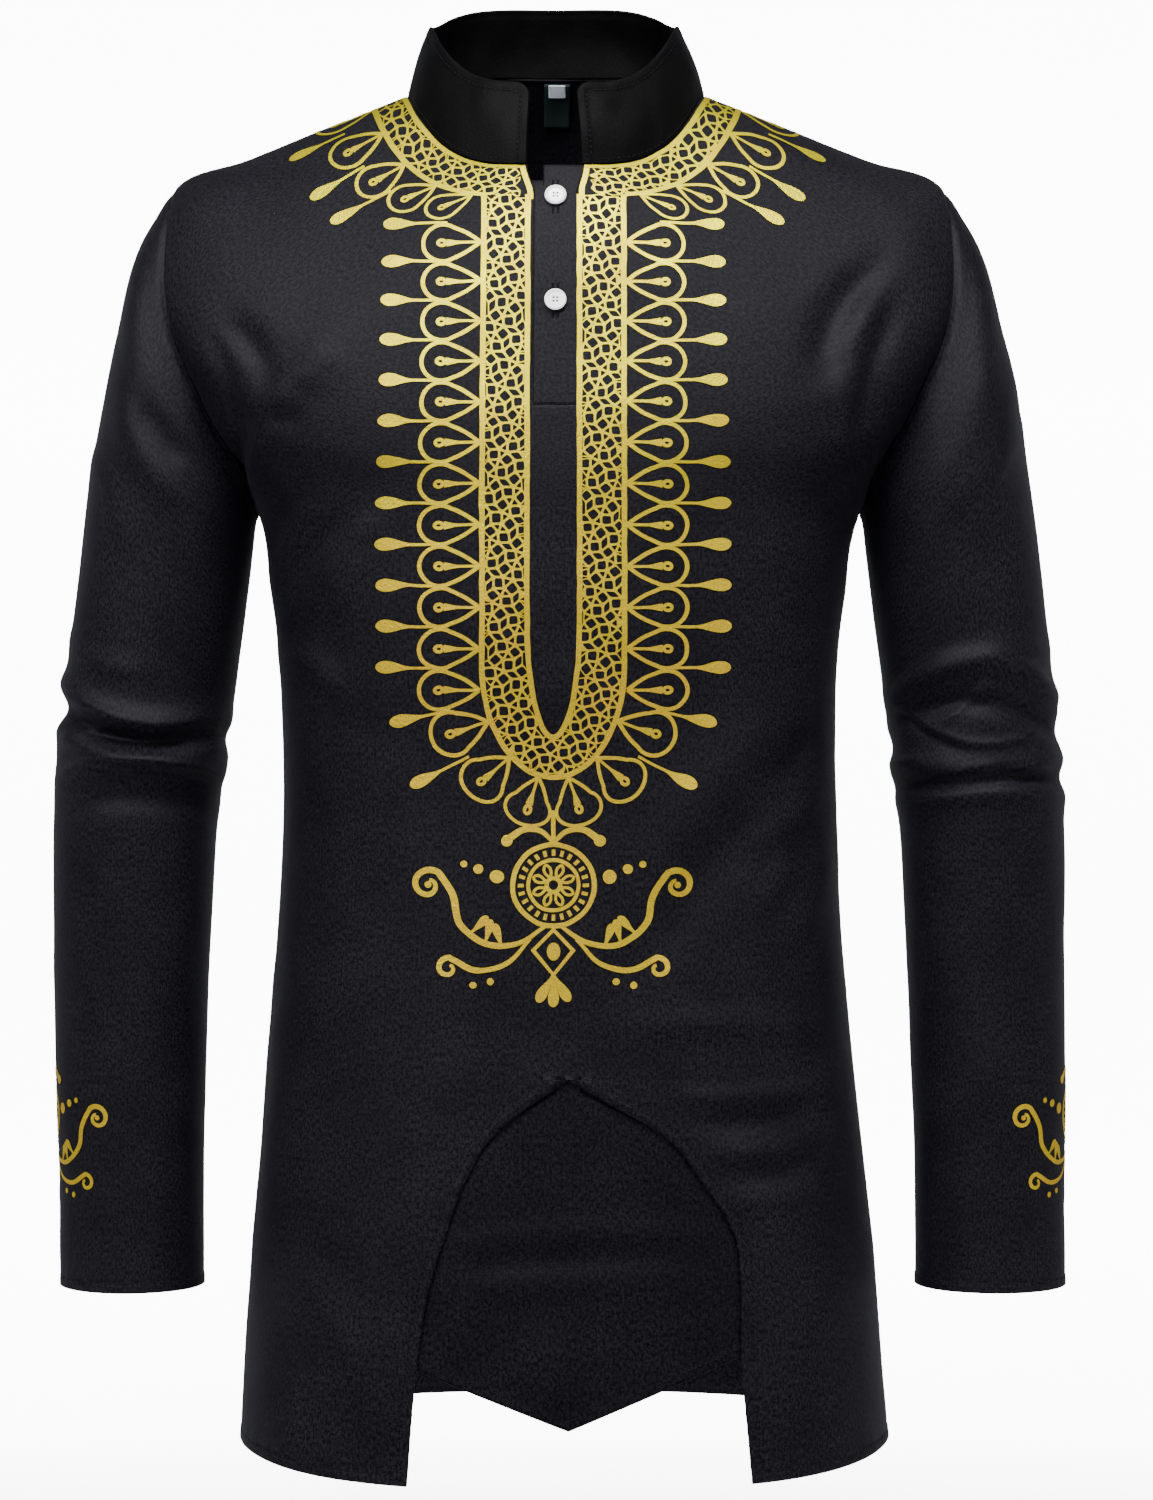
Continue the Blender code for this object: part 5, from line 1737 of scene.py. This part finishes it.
def make_all_stitches(cloth_thread):
    left, right = arch_stitch_path()
    rows = [front_surface(left), front_surface(right)] + hem_front_rows()
    make_stitches("stitches_front", rows, cloth_thread)

    phi = np.linspace(pi / 2 + 0.004, 3 * pi / 2 - 0.004, 320)
    station = np.full_like(phi, TORSO_STATIONS[-1] - HEM_WIDTH)
    make_stitches("stitches_back", [on_body(station, phi, back_relief)], cloth_thread)

    x = np.linspace(ARCH_CENTRE - 82, ARCH_CENTRE + 88, 260)
    z = insert_edge_z(x) + HEM_WIDTH / HEM_TILT
    path, normals = on_body(*on_front(x, z), insert_relief)
    make_stitches("stitches_insert", [(path - INSERT_DEPTH * normals, normals)], cloth_thread)

    for side, name in ((-1, "stitches_cuff_left"), (1, "stitches_cuff_right")):
        psi = np.linspace(0, 2 * pi, 240)
        station = np.full_like(psi, SLEEVE_STATIONS[-1] - HEM_WIDTH)
        make_stitches(name, [on_sleeve(side, station, psi)], cloth_thread)

    x = np.linspace(-SLIT_HALF + 0.6, SLIT_HALF - 0.6, 24)
    rows = [on_body(*on_front(x, 0 * x + SLIT_BOTTOM + 1.4), None)]
    make_stitches("stitches_placket", rows, cloth_thread)

    rows = []
    for level in BUTTONS.values():
        for centre in (-1.3, 1.3):
            for z in np.arange(level - 9.5, level + 9.6, 0.62):
                x = np.array([centre - 1.0, centre, centre + 1.0])
                path, normals = on_body(*on_front(x, 0 * x + z), None)
                rows.append((path, normals, 1.5, 0.1, 0.2))
    make_stitches("buttonholes", rows, cloth_thread)


def collar_stitches(material):
    def row(height, phi):
        normals = collar_normals(height, phi)
        return collar_relieved(height, phi, normals), normals

    turned_in = COLLAR_STITCH_INSET / COLLAR_ROUND
    phi = np.linspace(COLLAR_START + turned_in + 0.06, COLLAR_END - turned_in - 0.06, 400)
    rows = [row(np.full_like(phi, 1 - COLLAR_STITCH_INSET / COLLAR_HEIGHT), phi)]
    rows.append(row(np.full_like(phi, 2.0 / COLLAR_HEIGHT), phi))
    for edge, way in ((COLLAR_START, 1), (COLLAR_END, -1)):
        turn = np.linspace(0, pi / 2, 12)
        radius = COLLAR_CORNER - COLLAR_STITCH_INSET + 1.0
        corner_phi = edge + way * (COLLAR_STITCH_INSET + radius * (1 - np.sin(turn))) / COLLAR_ROUND
        corner_height = 1 - (COLLAR_STITCH_INSET + radius * (1 - np.cos(turn))) / COLLAR_HEIGHT
        up = np.linspace(0.06, corner_height[-1] - 0.01, 40)
        side_phi = np.full_like(up, edge + way * COLLAR_STITCH_INSET / COLLAR_ROUND)
        heights, angles = [corner_height, up[::-1]], [corner_phi, side_phi]
        rows.append(row(np.concatenate(heights), np.concatenate(angles)))
    make_stitches("stitches_collar", rows, material)


def button_threads(material):
    """What shows of the thread down in the buttons' holes; its near-black colour is painted shade
    in the holes.
    """
    rows = []
    for level in BUTTONS.values():
        point, normal = torso_grid(*on_front(0.0, np.array(level)))
        turn = Vector(normal).to_track_quat("Z", "Y").to_matrix()
        seat = point + normal * (SEAM_GAP + BUTTON_HEIGHT - 0.95)
        reach = BUTTON_HOLE_SPREAD * np.sin(pi / 4)
        for side in (-1, 1):
            for end in (-1, 1):
                along = np.linspace(-0.4, 0.4, 5)
                ends = np.stack([0 * along + side * reach, end * reach + along, 0 * along], axis=1)
                path = seat + ends @ np.array(turn).T
                rows.append((path, np.repeat(normal[None], 5, axis=0), 0.7, 0.05, 0.22))
    return make_stitches("button_threads", rows, material)


# Label cloths: the colours of their two threads
LABEL_THREADS = ((0.002, 0.008, 0.008), (0.010, 0.045, 0.040))
TAB_THREADS = ((0.55, 0.58, 0.66), (0.85, 0.87, 0.92))

# Studio, in metres and watts; each light has its place, its aim, its size and its power
FLOOR_HEIGHT = -0.84
FLOOR_HALF = 3.0
FLOOR_NEAR = -3.0
FLOOR_BEND = 1.6
FLOOR_RADIUS = 0.9
FLOOR_TOP = 1.3
WORLD_STRENGTH = 0.2
LENS = 85.71
CAMERA_PLACE = (0.0112, -2.0, -0.366)
LIGHTS = {
    "key": ((-1.2, -1.6, 1.15), (0, 0, -0.35), (0.9, 0.9), 60),
    "front top": ((0.2, -1.1, 1.5), (0, 0, -0.4), (1.1, 0.6), 84),
    "fill": ((1.9, -1.6, 0.3), (0, 0, -0.3), (1.0, 1.4), 11),
}


def make_camera():
    data = bpy.data.cameras.new("camera")
    data.sensor_width = 36.0
    data.lens = LENS
    camera = bpy.data.objects.new("camera", data)
    bpy.context.scene.collection.objects.link(camera)
    camera.location = CAMERA_PLACE
    camera.rotation_euler = (pi / 2, 0, 0)
    data.clip_end = 20
    bpy.context.scene.camera = camera


def make_light(name, place, target, size, power):
    data = bpy.data.lights.new(name, "AREA")
    data.shape = "RECTANGLE"
    data.size, data.size_y = size
    data.energy = power
    light = bpy.data.objects.new(name, data)
    bpy.context.scene.collection.objects.link(light)
    light.location = place
    aim = Vector(target) - Vector(place)
    light.rotation_euler = aim.to_track_quat("-Z", "Y").to_euler()


def make_studio():
    world = bpy.data.worlds.new("studio")
    bpy.context.scene.world = world
    world.use_nodes = True
    background = world.node_tree.nodes["Background"]
    background.inputs["Color"].default_value = (1, 1, 1, 1)
    background.inputs["Strength"].default_value = WORLD_STRENGTH
    profile = [(FLOOR_NEAR, FLOOR_HEIGHT), (FLOOR_BEND, FLOOR_HEIGHT)]
    for k in range(1, 13):
        turn = k / 12 * pi / 2
        rise = (1 - np.cos(turn)) * FLOOR_RADIUS
        profile.append((FLOOR_BEND + np.sin(turn) * FLOOR_RADIUS, FLOOR_HEIGHT + rise))
    profile.append((FLOOR_BEND + FLOOR_RADIUS, FLOOR_TOP))
    vertices = [(x, y, z) for y, z in profile for x in (-FLOOR_HALF, FLOOR_HALF)]
    faces = [(2 * k, 2 * k + 1, 2 * k + 3, 2 * k + 2) for k in range(len(profile) - 1)]
    mesh = bpy.data.meshes.new("floor")
    mesh.from_pydata(vertices, [], faces)
    mesh.shade_smooth()
    floor = bpy.data.objects.new("floor", mesh)
    bpy.context.scene.collection.objects.link(floor)
    mesh.materials.append(floor_material())
    floor.visible_glossy = False
    for name, light in LIGHTS.items():
        make_light(name, *light)


def main():
    make_camera()
    make_studio()
    cloth = cloth_material("black satin cotton", 1.0, 0.09)
    collar_cloth = cloth_material("black collar satin", 0.12, 0.06)
    panel_cloth = cloth_material("black panel cotton", 0.8, 0.07)
    front = make_front(cloth)
    insert = make_insert(panel_cloth)
    back = make_back(cloth)
    left = make_sleeve("sleeve_left", -1, cloth)
    right = make_sleeve("sleeve_right", 1, cloth)
    collar_piece = make_collar(collar_cloth)
    make_print(foil_material())
    over, under = make_plackets(cloth)
    make_all_stitches(thread_material("black thread", (0.0035, 0.003, 0.005), 0.12))
    collar_stitches(bpy.data.materials["black thread"])
    # Near-black button thread: painted shade, so the buttons' holes read dark
    button_threads(thread_material("button thread painted dark as hole shade", (0.02, 0.02, 0.03), 0.2))
    button = button_material()
    for name in BUTTONS:
        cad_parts[name].data.materials[0] = button
    label_material = woven_material("dark woven label", *LABEL_THREADS)
    tab_material = woven_material("white woven tab", *TAB_THREADS)
    size = (LABEL_HALF, LABEL_TOP, LABEL_LENGTH, UNDER_LAYER)
    label = make_label("label_cloth", *size, label_material, "label", "neck_label")
    size = (TAB_HALF, LABEL_TOP, TAB_LENGTH, UNDER_LAYER + LABEL_CLOTH + SEAM_GAP)
    tab = make_label("tab_cloth", *size, tab_material, "tab", "size_tab")


main()
